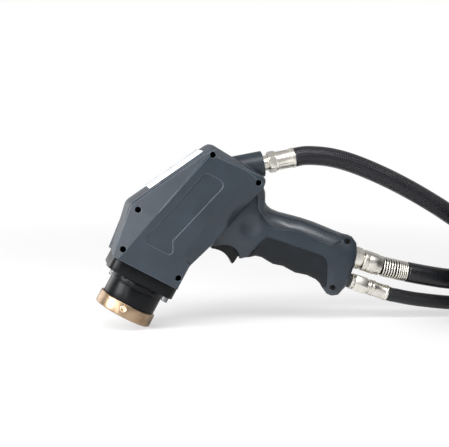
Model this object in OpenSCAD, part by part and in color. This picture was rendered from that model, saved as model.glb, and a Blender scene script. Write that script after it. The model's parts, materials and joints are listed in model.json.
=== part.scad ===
/* [Stance] */
// Lean of the beam axis off the vertical, in degrees
lean = 28.5; // [20:0.5:36]

/* [Head] */
// Height of the lens flange's top face above the nose, along the beam
foot_w = 51; // [50:0.5:54]
// Height of the head shells above the flange, to the apex
head_h = 144; // [138:1:160]
// Reach of the head forward of the beam axis, at its front corner
head_front = 49; // [46:0.5:54]
// Reach of the head behind the beam axis, at its rear corner
head_rear = 62; // [59:0.5:66]
// Half thickness of the head at its flat sides
head_half = 38; // [36:0.5:41]
// Wall of the moulded shells
wall = 3; // [2.5:0.1:3.6]
// Depth of the bare panel recess in each side
panel_deep = 0.8; // [0.5:0.1:1.4]

/* [Handle] */
// Length of the handle, from its root in the head to its end face
grip_len = 131; // [126:1:145]
// Depth of the handle in front of its own axis
grip_front = 33; // [31:0.5:36]
// Depth of the handle behind its own axis
grip_back = 22; // [20:0.5:25]
// Width of the handle across the palm
grip_width = 40; // [37:0.5:44]
// Angle of the handle to the lens flange, in degrees
grip_tilt = 9; // [6:0.5:12]
// Thickness of the rubber grip and of the backstrap
skin = 2; // [1.6:0.1:2.4]

/* [Nose] */
// Radius of the brass window ring
ring_r = 30.7; // [30:0.1:33]
// Height of the brass window ring
ring_h = 13.6; // [12.6:0.2:15]
// Radius of the beam opening in the window ring
aperture_r = 22; // [19:0.5:23]
// Radius of the lens barrel
barrel_r = 28.4; // [28:0.1:29]
// Width of the lens flange, along the head
flange_len = 73; // [72:0.5:76]
// Thickness of the lens flange
flange_t = 12.5; // [11:0.5:13]
// Radius of the flange's upright corners
flange_corner = 12; // [6:0.5:14]

/* [Optics] */
// Angle of the fibre inlet to the lens flange, in degrees
entry_angle = 39; // [36:0.5:42]
// Height of the scanning mirror above the flange, as a share of the head's height
fold_share = 0.75; // [0.73:0.005:0.77]
// Radius of the collimator tube
tube_r = 9; // [7:0.25:9.5]
// Radius of the scanning motor
motor_r = 11; // [8:0.5:12]
// Length of the scanning motor
motor_len = 18; // [14:1:19]

/* [Trigger] */
// Thickness of the trigger
trigger_t = 12; // [9:0.5:13]
// Radius of the trigger's pivot pin
pin_r = 2; // [1.5:0.1:2.4]
// Radius of the finger arch over the trigger
arch_r = 16.6; // [15:0.2:18]

/* [Fasteners] */
// Radius of the sunk screw holes in the shells
sink_r = 3.1; // [2.8:0.1:3.3]
// Radius of the shell screws' shanks
shank_r = 1.5; // [1.2:0.1:1.8]
// Radius of the knurled flange screws' heads
thumb_r = 3.4; // [3:0.1:3.8]

/* [Hoses] */
// Radius of the braided fibre hose
fibre_r = 10; // [8:0.5:10]
// Radius of the ribbed cable hose
cable_r = 11; // [9:0.5:11]
// Radius of the smooth air hose
air_r = 7.5; // [6:0.5:7.5]

/* [Hidden] */
over = 1;
hair = 0.3;
fit = 0.05;
slim = 0.15;
seg = 6;

// The head's outline along the beam: places forward and up, as shares of the head's own reach and height.
corner_front_share = 0.365;
corner_rear_share = 0.979;
step_top_share = 0.917;
step_low_share = 0.368;
waist_share = 0.181;
apex_share = 0.03;
foot_front_share = 0.79;
foot_rear_share = 0.556;
grip_w_share = 0.628;
step_top_reach_share = 1.024;
step_low_reach_share = 0.702;
top_w = foot_w + head_h;
foot_front = head_front * foot_front_share;
foot_rear = head_rear * foot_rear_share;
fold_w = foot_w + head_h * fold_share;

// The band over the top of the head: how far each bevel starts below the flat sides.
band_share = 0.74;
band_half = head_half * band_share;
bevel_in = 3;
crown = 1.5;
facet_front_share = 0.45;
facet_foot_share = 0.88;
ridge_rear_share = 0.67;
ridge_low_share = 0.32;
ridge_low_w_share = 0.26;
ridge_cut = 4.6;
bluff = 9;

// Radii of the outline's corners: feet, front, apex, rear, the hollow over the trigger, and the waist.
foot_r = 1;
corner_r = 12;
apex_r = 5;
rear_r = 6;
hollow_r = 20;
waist_r = 16;
flat_front_r = 400;
flat_apex_r = 2;
flat_hollow_r = 14;
flat_waist_r = 8;
least_r = 0.5;

function unit(v) = v / norm(v);
function mix(a, b, t) = a + (b - a) * t;

// Offset of a clockwise outline towards its inside.
function inset(pts, t) = [for (i = [0:len(pts) - 1])
    let (n = len(pts), b = pts[i],
        d1 = unit(b - pts[(i + n - 1) % n]), d2 = unit(pts[(i + 1) % n] - b),
        n1 = [d1[1], -d1[0]], n2 = [d2[1], -d2[0]])
    b + (n1 + n2) * t / (1 + n1 * n2)];

// An outline with each corner rounded by its own radius.
function soften(pts, radii, steps = seg) = [for (i = [0:len(pts) - 1])
    let (n = len(pts), b = pts[i],
        u = unit(pts[(i + n - 1) % n] - b), v = unit(pts[(i + 1) % n] - b),
        h = acos(max(-1, min(1, u * v))) / 2,
        r = radii[i], mid = b + unit(u + v) * r / sin(h),
        a = b + u * r / tan(h), c = b + v * r / tan(h),
        a1 = atan2(a[1] - mid[1], a[0] - mid[0]), a2 = atan2(c[1] - mid[1], c[0] - mid[0]),
        turn = ((a2 - a1 + 540) % 360) - 180)
    for (k = [0:steps]) mid + r * [cos(a1 + turn * k / steps), sin(a1 + turn * k / steps)]];

// A solid skinned over rings that have the same number of points.
module loft(rings) {
    n = len(rings[0]);
    m = len(rings);
    polyhedron(
        points = [for (r = rings) each r],
        faces = concat(
            [[for (i = [0:n - 1]) i]],
            [for (k = [0:m - 2], i = [0:n - 1]) let (j = (i + 1) % n) [k * n + i, (k + 1) * n + j, k * n + j]],
            [for (k = [0:m - 2], i = [0:n - 1]) let (j = (i + 1) % n)
                [k * n + i, (k + 1) * n + i, (k + 1) * n + j]],
            [[for (i = [n - 1:-1:0]) (m - 1) * n + i]]),
        convexity = 8);
}

// Frames: the gun leans on its nose, the grip and the inlet turn off the beam axis.
cable_fitting = 32;
cable_sleeve = 31;
relief_spare = 5;
cable_s = grip_len + cable_fitting;
relief_end = cable_s + cable_sleeve + relief_spare;
lift = ring_r * sin(lean);
reach_low = -ring_r * cos(lean);
grip_sunk = 2;
grip_u = head_rear - grip_sunk;
grip_w = foot_w + head_h * grip_w_share;
cable_n_share = 0.09;
cable_n = grip_back * cable_n_share;
reach_high = (grip_u + relief_end * cos(grip_tilt)) * cos(lean)
    + (grip_w + relief_end * sin(grip_tilt)) * sin(lean);
centre_x = (reach_low + reach_high) / 2;

module posed() translate([-centre_x, 0, lift]) rotate([0, lean, 0]) children();
module grip_frame() translate([grip_u, 0, grip_w]) rotate([0, -grip_tilt, 0]) children();
module entry_frame() translate([0, 0, fold_w]) rotate([0, 90 - entry_angle, 0]) children();
module along_grip(s, n) translate([s, 0, n]) rotate([0, 90, 0]) children();
module across(u, w) translate([u, 0, w]) rotate([90, 0, 0]) children();
module side_plate(pts, half) rotate([90, 0, 0]) linear_extrude(2 * half, center = true) polygon(pts);

function posed_point(u, w) = [
    u * cos(lean) + w * sin(lean) - centre_x, 0, lift - u * sin(lean) + w * cos(lean)];
function grip_point(s, n) = [
    grip_u + s * cos(grip_tilt) - n * sin(grip_tilt), grip_w + s * sin(grip_tilt) + n * cos(grip_tilt)];
function entry_point(a) = [a * cos(entry_angle), fold_w + a * sin(entry_angle)];

// The head.
head_outer = [
    [-foot_front, foot_w],
    [-head_front, foot_w + head_h * corner_front_share],
    [-head_rear * apex_share, top_w],
    [head_rear, foot_w + head_h * corner_rear_share],
    [head_rear * step_top_reach_share, foot_w + head_h * step_top_share],
    [head_rear * step_low_reach_share, foot_w + head_h * step_low_share],
    [foot_rear, foot_w + head_h * waist_share],
    [foot_rear, foot_w]];
head_flat = [
    [-foot_front * facet_foot_share, foot_w],
    [-head_front * facet_front_share, foot_w + head_h * corner_front_share],
    [-head_rear * apex_share, top_w - bluff],
    [head_rear * ridge_rear_share - ridge_cut, foot_w + head_h * corner_rear_share - bevel_in],
    [head_rear * ridge_rear_share, foot_w + head_h * corner_rear_share - bluff / 2],
    [head_rear * ridge_low_share, foot_w + head_h * ridge_low_w_share],
    [foot_rear - bevel_in, foot_w + head_h * waist_share],
    [foot_rear - bevel_in / 2, foot_w]];
head_radii = [foot_r, corner_r, apex_r, rear_r, rear_r, hollow_r, waist_r, foot_r];
flat_radii = [foot_r, flat_front_r, flat_apex_r, foot_r, foot_r, flat_hollow_r, flat_waist_r, foot_r];
// Depth of the bevel's edge at each corner of the outline, as shares of the half thickness.
bevel_y_shares = [0.93, 0.79, 0.92, 0.95, 0.93, 0.9, 0.93, 0.94];

function lift_ring(pts, y) = [for (i = [len(pts) - 1:-1:0]) [pts[i][0], y, pts[i][1]]];
function lift_corners(pts, ys) = [for (i = [len(pts) - 1:-1:0])
    [pts[i][0], ys[floor(i / (seg + 1))], pts[i][1]]];
// Every outline runs on below the foot, where the shells are cut off flat.
drop_share = 0.4;
function dropped(pts) = let (n = len(pts) - 1) [for (i = [0:n])
    i == 0 ? pts[0] + (pts[0] - pts[1]) * drop_share
    : i == n ? pts[n] + (pts[n] - pts[n - 1]) * drop_share : pts[i]];
function shrunk(radii, t) = [for (r = radii) max(r - t, least_r)];

function crowned(pts) = [for (i = [0:len(pts) - 1]) (i > 0 && i < 4) ? inset(pts, -crown)[i] : pts[i]];

head_rings = [
    lift_ring(soften(dropped(crowned(head_outer)), head_radii), 2 * over),
    lift_ring(soften(dropped(crowned(head_outer)), head_radii), -band_half / 3),
    lift_ring(soften(dropped(head_outer), head_radii), -band_half),
    lift_corners(soften(dropped(inset(head_outer, bevel_in / 2)), head_radii),
        [for (s = bevel_y_shares) -s * head_half]),
    lift_ring(soften(dropped(head_flat), flat_radii), -head_half)];
cavity_rings = [
    lift_ring(soften(dropped(inset(head_outer, wall)), shrunk(head_radii, wall)), over),
    lift_ring(soften(dropped(inset(head_outer, wall)), shrunk(head_radii, wall)), -band_half + wall),
    lift_ring(soften(dropped(inset(head_flat, wall)), flat_radii), -head_half + wall)];

// The handle: stations along its length, as shares of its length, depths and half width.
grip_shares = [
    [-0.23, 0.85, 1.91, 1.20], [-0.08, 1.12, 2.00, 1.18], [0.05, 1.16, 2.00, 1.16],
    [0.10, 1.17, 1.93, 1.14], [0.13, 1.16, 1.68, 1.12], [0.155, 1.09, 1.25, 1.10],
    [0.19, 1.01, 1.06, 1.07], [0.23, 0.91, 0.97, 1.04], [0.29, 0.885, 0.945, 1.01],
    [0.34, 0.93, 0.97, 1.00], [0.395, 0.975, 0.995, 1.00], [0.48, 0.935, 1.03, 1.00],
    [0.59, 1.01, 1.04, 1.00], [0.69, 0.965, 1.01, 1.00], [0.775, 1.005, 0.98, 1.00],
    [0.82, 1.09, 0.97, 1.00], [0.86, 1.24, 0.985, 1.00], [0.90, 1.345, 1.01, 1.00],
    [0.94, 1.36, 0.985, 0.99], [0.975, 1.29, 0.84, 0.95], [1, 1.08, 0.55, 0.82]];
grip_power = 2.5;
half_steps = 9;

function bulge(x) = sign(x) * pow(abs(x), 2 / grip_power);
function grip_half(row, t, side) = [for (k = [0:half_steps])
    let (a = 90 - 180 * k / half_steps, front = row[1] * grip_front - t, back = row[2] * grip_back - t,
        half = row[3] * grip_width / 2 - t)
    [row[0] * grip_len, side * half * bulge(cos(a)), (back - front) / 2 + (back + front) / 2 * bulge(sin(a))]];
function grip_loop(row, t) = concat(grip_half(row, t, -1),
    [for (k = [half_steps - 1:-1:1]) grip_half(row, t, 1)[k]]);
function closed_end(rows, t) = [for (r = rows) [min(r[0], 1 - max(t, 0) / grip_len), r[1], r[2], r[3]]];

// One side of the handle, run on past the middle plane, where the shell is cut off.
function past_middle(pts) = let (n = len(pts) - 1) concat(
    [[pts[0][0], over, pts[0][2]]], pts, [[pts[n][0], over, pts[n][2]]]);
module grip_side(t) loft([for (r = closed_end(grip_shares, t)) past_middle(grip_half(r, t, -1))]);
module grip_full(t, end_t) loft([for (r = closed_end(grip_shares, end_t)) grip_loop(r, t)]);

// Borders of the rubber and of the backstrap on the handle's side, as shares of its length and depths, with their
// corners' radii as shares of its front depth.
rubber_shares = [[0.165, -2], [0.172, -0.98], [0.235, -0.2], [0.76, -0.2], [0.848, -1.1], [0.86, -2]];
rubber_r_shares = [0.03, 0.06, 0.27, 0.36, 0.18, 0.03];
strap_shares = [[0.85, 3], [0.835, 0.62], [0.76, 0.22], [0.47, 0.44], [0.235, 0.22], [0.10, 0.78],
    [0.05, 1.45], [0.05, 3]];
strap_r_shares = [0.03, 0.12, 0.24, 1.2, 0.42, 0.24, 0.12, 0.03];
rubber_line = soften([for (p = rubber_shares) [p[0] * grip_len, p[1] * grip_front]],
    [for (r = rubber_r_shares) r * grip_front]);
strap_line = soften([for (p = strap_shares) [p[0] * grip_len, p[1] * grip_back]],
    [for (r = strap_r_shares) r * grip_front]);

module rubber_zone(t) side_plate(inset(rubber_line, t), grip_width);
module strap_zone(t) side_plate(inset(strap_line, t), grip_width);

module grip_body() {
    difference() {
        grip_side(0);
        rubber_zone(0);
        strap_zone(0);
    }
    grip_side(skin);
}

// Places across the shells, as shares of the reach and of the height: screws, trigger pivot, finger arch.
head_screw_shares = [[0.008, 0.943], [0.887, 0.924], [-0.8, 0.365], [-0.7, 0.076], [0.456, 0.074]];
grip_screw_shares = [[0.883, 0.72], [0.896, -1.06]];
function head_place(p) = [p[0] * (p[0] < 0 ? head_front : head_rear), foot_w + p[1] * head_h];
function grip_place(p) = grip_point(p[0] * grip_len, p[1] * (p[1] < 0 ? grip_front : grip_back));
screw_places = concat([for (p = head_screw_shares) head_place(p)], [for (p = grip_screw_shares) grip_place(p)]);
post_r = 5;
pivot_in = 8;
pivot_drop = 23.5;
pivot = [grip_u - pivot_in, grip_w - pivot_drop];
arch_back = 1;
arch_gap = 11.1;
arch_at = grip_point(-arch_back, -grip_front - arch_gap);
arch_open = 2;
slot_gap = 0.5;
slot_half = trigger_t / 2 + slot_gap;
boss_r = 13.5;
boss_out = 10;
boss_end = head_rear + boss_out;
sink_y = -12;
shank_tip = 2;
insert_r = 2.4;
insert_len = 8;
nipple_r = 8;
air_nipple_r = 7;
air_n_share = 0.706;
air_n = -grip_front * air_n_share;
end_wall = 5;
wide = 4 * head_half;

module shell_fill() {
    for (p = screw_places) across(p[0], p[1]) cylinder(h = wide, r = post_r, center = true, $fn = 32);
    across(arch_at[0], arch_at[1])
        cylinder(h = wide, r = arch_r + wall, center = true, $fn = 64);
    difference() {
        across(pivot[0], pivot[1]) cylinder(h = wide, r = pin_r + wall, center = true, $fn = 32);
        translate([0, 0, pivot[1]]) cube([wide, 2 * slot_half, 4 * post_r], center = true);
    }
}

module shell_hollow() {
    difference() {
        union() {
            loft(cavity_rings);
            grip_frame() grip_full(skin + wall, end_wall);
        }
        shell_fill();
    }
}

// The bare place of the side's panel: a tall field with a wider foot, as shares of the reach and of the height.
panel_field_shares = [[-0.347, 0.278], [0.032, 0.8125], [0.427, 0.8125], [0.081, 0.271]];
panel_foot_shares = [[0.089, 0.285], [0.185, 0.215], [0.145, 0.1875], [-0.306, 0.1875], [-0.439, 0.229],
    [-0.357, 0.292]];
panel_r = 6;
panel_heel_r = 5;
panel_toe_r = 3;
module panel_recess() {
    translate([0, -head_half + panel_deep, 0]) rotate([90, 0, 0]) linear_extrude(panel_deep + over) {
        polygon(soften([for (p = panel_field_shares) head_place(p)], [foot_r, panel_r, panel_r, foot_r]));
        polygon(soften([for (p = panel_foot_shares) head_place(p)],
            [foot_r, panel_toe_r, panel_toe_r, panel_heel_r, panel_heel_r, foot_r]));
    }
}

// The shallow bare strip let into the band, along the slope from the front corner to the apex.
strip_start_share = 0.24;
strip_len_share = 0.66;
strip_edge_share = 0.86;
strip_deep = 1;
slope_low = head_outer[1];
slope_run = head_outer[2] - head_outer[1];
slope_angle = atan2(slope_run[1], slope_run[0]);
module band_recess() {
    start = slope_low + slope_run * strip_start_share;
    translate([start[0], -band_half * strip_edge_share, start[1]]) rotate([0, -slope_angle, 0])
        translate([0, 0, crown - strip_deep]) cube([norm(slope_run) * strip_len_share, 2 * band_half, 2 * crown]);
}

// A soft hollow in each side of the neck, between the head and the rubber.
scoop_shares = [0.11, 1.41, 0.2];
scoop_r_share = 0.92;
module neck_scoop() grip_frame()
    translate([grip_len * scoop_shares[0], -grip_width * scoop_shares[1], -grip_back * scoop_shares[2]])
        sphere(r = grip_width * scoop_r_share, $fn = 64);

pin_len_share = 0.7;
module near_shell(inserts) {
    posed() difference() {
        union() {
            loft(head_rings);
            grip_frame() grip_body();
            entry_frame() translate([0, 0, boss_end / 2]) cylinder(h = boss_end / 2, r = boss_r, $fn = 64);
        }
        translate([0, wide / 2, fold_w]) cube([6 * boss_end, wide, 6 * boss_end], center = true);
        translate([0, 0, foot_w / 2]) cube([wide, wide, foot_w], center = true);
        shell_hollow();
        entry_frame() cylinder(h = boss_end + over, r = tube_r + fit, $fn = 64);
        across(arch_at[0], arch_at[1]) cylinder(h = wide, r = arch_r, center = true, $fn = 64);
        across(pivot[0], pivot[1])
            cylinder(h = grip_width * pin_len_share, r = pin_r + fit, center = true, $fn = 32);
        translate([arch_at[0] - arch_r - arch_open, -slot_half, arch_at[1] - arch_r])
            cube([2 * arch_r + arch_open - over, 2 * slot_half, 2 * (arch_r + wall)]);
        grip_frame() {
            along_grip(grip_len - 2 * end_wall, cable_n)
                cylinder(h = 3 * end_wall, r = nipple_r + fit, $fn = 48);
            along_grip(grip_len - 2 * end_wall, air_n)
                cylinder(h = 3 * end_wall, r = air_nipple_r + fit, $fn = 48);
        }
        neck_scoop();
        panel_recess();
        band_recess();
        for (p = screw_places) translate([p[0], 0, p[1]]) rotate([90, 0, 0]) {
            if (inserts) {
                translate([0, 0, -over]) cylinder(h = insert_len + over + fit, r = insert_r + fit, $fn = 32);
                translate([0, 0, -over]) cylinder(h = -sink_y + over + shank_tip, r = shank_r + fit, $fn = 32);
            } else {
                translate([0, 0, -over]) cylinder(h = head_half, r = shank_r + fit, $fn = 32);
                translate([0, 0, -sink_y]) cylinder(h = head_half, r = sink_r, $fn = 32);
            }
        }
    }
}

module left_shell() color([0.27, 0.31, 0.35]) near_shell(false);
module right_shell() color([0.27, 0.31, 0.35]) mirror([0, 1, 0]) near_shell(true);

rubber_proud = 0.5;
strap_proud = 0.4;
module grip_rubber() color([0.2, 0.2, 0.2]) posed() grip_frame() difference() {
    intersection() {
        grip_full(-rubber_proud, -rubber_proud);
        rubber_zone(slim);
    }
    grip_full(skin - slim, 0);
}

module backstrap() color([0.33, 0.36, 0.4]) posed() difference() {
    grip_frame() intersection() {
        grip_full(-strap_proud, -strap_proud);
        strap_zone(slim);
    }
    grip_frame() grip_full(skin - slim, 0);
    loft([for (y = [-1, 1]) lift_ring(soften(inset(crowned(head_outer), -slim), head_radii), -y * head_half)]);
}

head_gap = 0.2;
head_r = sink_r - head_gap;
head_len = 4;
module shell_screws() color([0.1, 0.1, 0.1]) posed() for (p = screw_places)
    translate([p[0], 0, p[1]]) rotate([90, 0, 0]) {
        difference() {
            translate([0, 0, -sink_y]) cylinder(h = head_len, r = head_r, $fn = 32);
            translate([0, 0, -sink_y + head_len / 2]) cylinder(h = head_len, r = head_r / 2, $fn = 6);
        }
        translate([0, 0, sink_y + fit]) cylinder(h = -2 * sink_y - fit, r = shank_r, $fn = 32);
    }

module thread_inserts() color([0.72, 0.56, 0.3]) posed() for (p = screw_places)
    translate([p[0], 0, p[1]]) rotate([-90, 0, 0]) difference() {
        cylinder(h = insert_len, r = insert_r, $fn = 32);
        translate([0, 0, -over]) cylinder(h = insert_len + 2 * over, r = shank_r + fit, $fn = 32);
    }

// The nose: flange, barrel, lenses, window and ring.
flange_mid = (foot_rear - foot_front) / 2;
flange_half = flange_len / 2;
flange_low = foot_w - flange_t;
flange_in = 1;
flange_y = head_half - flange_in;
lip_in = 4;
lip_h = 3;
lens_r = 20;
spigot_r = 25.6;
thumb_in = 7;
thumb_places = [for (sx = [-1, 1], sy = [-1, 1])
    [flange_mid + sx * (flange_half - thumb_in), sy * (flange_y - thumb_in)]];
thumb_shank = 2;

module rounded_plate(half_x, half_y, r, h) linear_extrude(h) {
    square([2 * half_x, 2 * (half_y - r)], center = true);
    square([2 * (half_x - r), 2 * half_y], center = true);
    for (sx = [-1, 1], sy = [-1, 1]) translate([sx * (half_x - r), sy * (half_y - r)]) circle(r = r, $fn = 64);
}

module lens_flange() color([0.13, 0.13, 0.15]) posed() difference() {
    union() {
        translate([flange_mid, 0, flange_low]) rounded_plate(flange_half, flange_y, flange_corner, flange_t);
        translate([flange_mid, 0, foot_w - over])
            rounded_plate(flange_half - wall - lip_in, flange_y - wall - lip_in, flange_corner / 2, lip_h + over);
    }
    translate([0, 0, flange_low - over]) cylinder(h = flange_t + lip_h + 2 * over, r = spigot_r + fit, $fn = 96);
    for (p = thumb_places) translate([p[0], p[1], flange_low - over])
        cylinder(h = flange_t + 2 * over, r = thumb_shank + fit, $fn = 32);
}

thumb_h = 5;
thumb_hex = 2;
flutes = 12;
module flange_screws() color([0.78, 0.78, 0.76]) posed() for (p = thumb_places) translate([p[0], p[1], 0]) {
    translate([0, 0, flange_low - thumb_h - hair / 3]) difference() {
        cylinder(h = thumb_h, r = thumb_r, $fn = 48);
        for (k = [0:flutes - 1]) rotate([0, 0, k * 360 / flutes]) translate([thumb_r, 0, -over])
            cylinder(h = thumb_h + 2 * over, r = thumb_r * 0.12, $fn = 16);
        translate([0, 0, -over]) cylinder(h = thumb_hex + over, r = thumb_r * 0.45, $fn = 6);
    }
    translate([0, 0, flange_low - over]) cylinder(h = flange_t - over, r = thumb_shank, $fn = 32);
}

thread_deep = 1.4;
thread_r = barrel_r - thread_deep;
spigot_low = 4.4;
seat_wall = 2.8;
seat_h = 5.2;
window_r = thread_r - seat_wall;
window_t = 3;
seal_r = 1;
groove_up = 17.5;
groove_t = 0.8;
groove_deep = 0.6;
groove_w = ring_h + groove_up;
collar_out = 0.9;
collar_bevel = 1.5;
collar_r = barrel_r + collar_out;
lens_lip = 2;
lens_top_in = 5;
lens_top = foot_w - lens_top_in;
barrel_stop = flange_low - hair / 3;

module lens_barrel() color([0.1, 0.1, 0.1]) posed() rotate_extrude($fn = 128) polygon([
    [window_r + fit + slim, spigot_low], [thread_r, spigot_low], [thread_r, ring_h + hair / 3],
    [barrel_r, ring_h + hair / 3], [barrel_r, groove_w], [barrel_r - groove_deep, groove_w],
    [barrel_r - groove_deep, groove_w + groove_t], [collar_r, groove_w + groove_t],
    [collar_r, barrel_stop - collar_bevel], [collar_r - collar_bevel, barrel_stop], [spigot_r, barrel_stop],
    [spigot_r, foot_w + lip_h], [lens_r - lens_lip, foot_w + lip_h], [lens_r - lens_lip, lens_top],
    [lens_r + fit, lens_top], [lens_r + fit, spigot_low + seat_h], [window_r + fit + slim, spigot_low + seat_h]]);

lens_step = 5.5;
upper_sags = [2, 2.6];
lower_sags = [-1.6, 2.2];
module lens_body(low, h, sags) posed() translate([0, 0, low]) rotate_extrude($fn = 96) polygon(
    concat([for (k = [0:8]) [lens_r * k / 8, sags[0] * (1 - pow(k / 8, 2))]],
        [for (k = [8:-1:0]) [lens_r * k / 8, h + sags[1] * (1 - pow(k / 8, 2))]]));
spacer_h = 6;
spacer_wall = 1.6;
retainer_h = 3.5;
retainer_wall = 2;
// How far a lens's face stands proud where a ring of this width bears on its rim.
function rim_rise(sag, thick) = sag * (1 - pow(1 - thick / lens_r, 2));
upper_lens_w = lens_top - hair / 3 - rim_rise(upper_sags[1], lens_lip) - lens_step;
spacer_w = upper_lens_w - hair / 3 - spacer_h;
lower_lens_w = spacer_w - hair / 3 - rim_rise(lower_sags[1], spacer_wall) - lens_step;
retainer_w = lower_lens_w - hair / 3 - rim_rise(-lower_sags[0], retainer_wall) - retainer_h;
module focus_lens_upper() color([0.75, 0.88, 0.9]) lens_body(upper_lens_w, lens_step, upper_sags);
module focus_lens_lower() color([0.75, 0.88, 0.9]) lens_body(lower_lens_w, lens_step, lower_sags);
module lens_tube(low, h, thick) posed() translate([0, 0, low]) difference() {
    cylinder(h = h, r = lens_r, $fn = 96);
    translate([0, 0, -over]) cylinder(h = h + 2 * over, r = lens_r - thick, $fn = 96);
}
module lens_spacer() color([0.15, 0.15, 0.15])
    lens_tube(spacer_w, spacer_h, spacer_wall);
module lens_retainer() color([0.15, 0.15, 0.15]) lens_tube(retainer_w, retainer_h, retainer_wall);

window_w = spigot_low - hair / 3;
module protective_window() color([0.8, 0.92, 0.95]) posed() translate([0, 0, window_w])
    cylinder(h = window_t, r = window_r, $fn = 96);
seal_in = 1.3;
module window_seal() color([0.5, 0.12, 0.08]) posed()
    translate([0, 0, window_w + window_t + seal_r + fit]) rotate_extrude($fn = 96)
        translate([window_r - seal_in, 0]) circle(r = seal_r, $fn = 24);

spanner_r = 1.8;
spanner_rim = 1.2;
spanner_angle = 9.5;
mouth_bevel = 1.6;
foot_bevel = 1;
rim_bevel = 1.2;
module window_ring() color([0.8, 0.66, 0.4]) posed() difference() {
    rotate_extrude($fn = 128) polygon([
        [aperture_r, mouth_bevel], [aperture_r + mouth_bevel, 0], [ring_r - foot_bevel, 0],
        [ring_r, foot_bevel], [ring_r, ring_h - rim_bevel], [ring_r - rim_bevel / 3, ring_h - rim_bevel / 3],
        [ring_r - rim_bevel, ring_h], [thread_r + fit, ring_h], [thread_r + fit, window_w - hair / 3],
        [aperture_r, window_w - hair / 3]]);
    for (k = [0, 180]) rotate([0, 0, -spanner_angle + k]) translate([0, -ring_r, ring_h * 0.6])
        rotate([90, 0, 0]) {
            translate([0, 0, -(ring_r - thread_r) * 0.7]) cylinder(h = ring_r, r = spanner_r, $fn = 32);
            translate([0, 0, -over])
                cylinder(h = 2 * spanner_rim, r1 = spanner_r, r2 = spanner_r + 2 * spanner_rim, $fn = 32);
        }
}

// The optics: frame, collimator, motor and mirror.
base_low = foot_w + lip_h + hair / 3;
base_t = 4;
base_half = head_half * 0.816;
base_front = -head_front * 0.571;
base_rear = head_rear * 0.355;
base_edge = 4;
plate_y = 16;
plate_t = 6;
plate_front = -15;
plate_rear = 16;
plate_up = 15;
slot_front = -6;
slot_rear = 7;
slot_low = 18;
slot_high = 30;
block_wall = 3.5;
block_half = tube_r + block_wall;
block_low = boss_end * 0.21;
block_high = boss_end * 0.42;
frame_screw_places = [for (u = [base_front + base_edge, base_rear - base_edge], side = [-1, 1])
    [u, side * (base_half - base_edge - over)]];

module frame_blank() {
    translate([base_front, -base_half, base_low]) cube([base_rear - base_front, 2 * base_half, base_t]);
    translate([plate_front, plate_y, base_low])
        cube([plate_rear - plate_front, plate_t, fold_w + plate_up - base_low]);
    entry_frame() translate([-block_half, -block_half, block_low])
        cube([2 * block_half, block_half + plate_y + plate_t / 2, block_high - block_low]);
}

// The frame's plate is trimmed along the inside of the shells.
module optics_frame() color([0.7, 0.71, 0.73]) posed() difference() {
    intersection() {
        frame_blank();
        side_plate(dropped(inset(head_outer, wall + hair)), head_half);
    }
    translate([0, 0, base_low - over]) cylinder(h = base_t + 2 * over, r = lens_r, $fn = 96);
    translate([slot_front, plate_y - over, base_low + slot_low])
        cube([slot_rear - slot_front, plate_t + 2 * over, fold_w - motor_r - slot_high - base_low]);
    across(0, fold_w) cylinder(h = 4 * plate_y, r = motor_r + fit, center = true, $fn = 64);
    entry_frame() cylinder(h = boss_end, r = tube_r + fit, $fn = 64);
    for (p = frame_screw_places) translate([p[0], p[1], base_low - over])
        cylinder(h = base_t + 2 * over, r = shank_r + fit, $fn = 24);
}

frame_head_h = 2.2;
module frame_screws() color([0.6, 0.6, 0.62]) posed() for (p = frame_screw_places)
    translate([p[0], p[1], base_low]) {
        translate([0, 0, base_t]) cylinder(h = frame_head_h, r = 2 * shank_r, $fn = 24);
        cylinder(h = base_t, r = shank_r, $fn = 24);
    }

tube_out = 1;
tube_step = 1.4;
seat_step = 1.2;
seat_in = 4;
seat_len = 6;
inlet_in = 12;
lens_rest = 0.2;
lens_edge = 2.2;
lens_sag = 1.6;
tube_low = block_low - tube_out;
tube_high = boss_end - inlet_in;
lens_seat = tube_r - seat_step;
module collimator_tube() color([0.16, 0.16, 0.17]) posed() entry_frame() difference() {
    translate([0, 0, tube_low]) cylinder(h = tube_high - tube_low, r = tube_r, $fn = 64);
    translate([0, 0, tube_low - over]) cylinder(h = tube_high, r = lens_seat - tube_step, $fn = 64);
    translate([0, 0, tube_low + seat_in]) cylinder(h = seat_len, r = lens_seat, $fn = 64);
}
module collimator_lens() color([0.75, 0.88, 0.9]) posed() entry_frame()
    translate([0, 0, tube_low + seat_in + lens_rest]) rotate_extrude($fn = 64) polygon(
        concat([[0, 0], [lens_seat - fit, 0]],
            [for (k = [6:-1:0]) [(lens_seat - fit) * k / 6, lens_edge + lens_sag * (1 - pow(k / 6, 2))]]));

motor_y = 9;
motor_cap = 4;
motor_cap_in = 2;
shaft_r = 2;
shaft_end = 3;
module galvo_motor() color([0.2, 0.2, 0.22]) posed() translate([0, motor_y, fold_w]) rotate([-90, 0, 0])
    difference() {
        union() {
            cylinder(h = motor_len - motor_cap, r = motor_r, $fn = 64);
            cylinder(h = motor_len, r = motor_r - motor_cap_in, $fn = 64);
        }
        translate([0, 0, -over]) cylinder(h = motor_len - shaft_end, r = shaft_r + fit, $fn = 32);
    }

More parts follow.
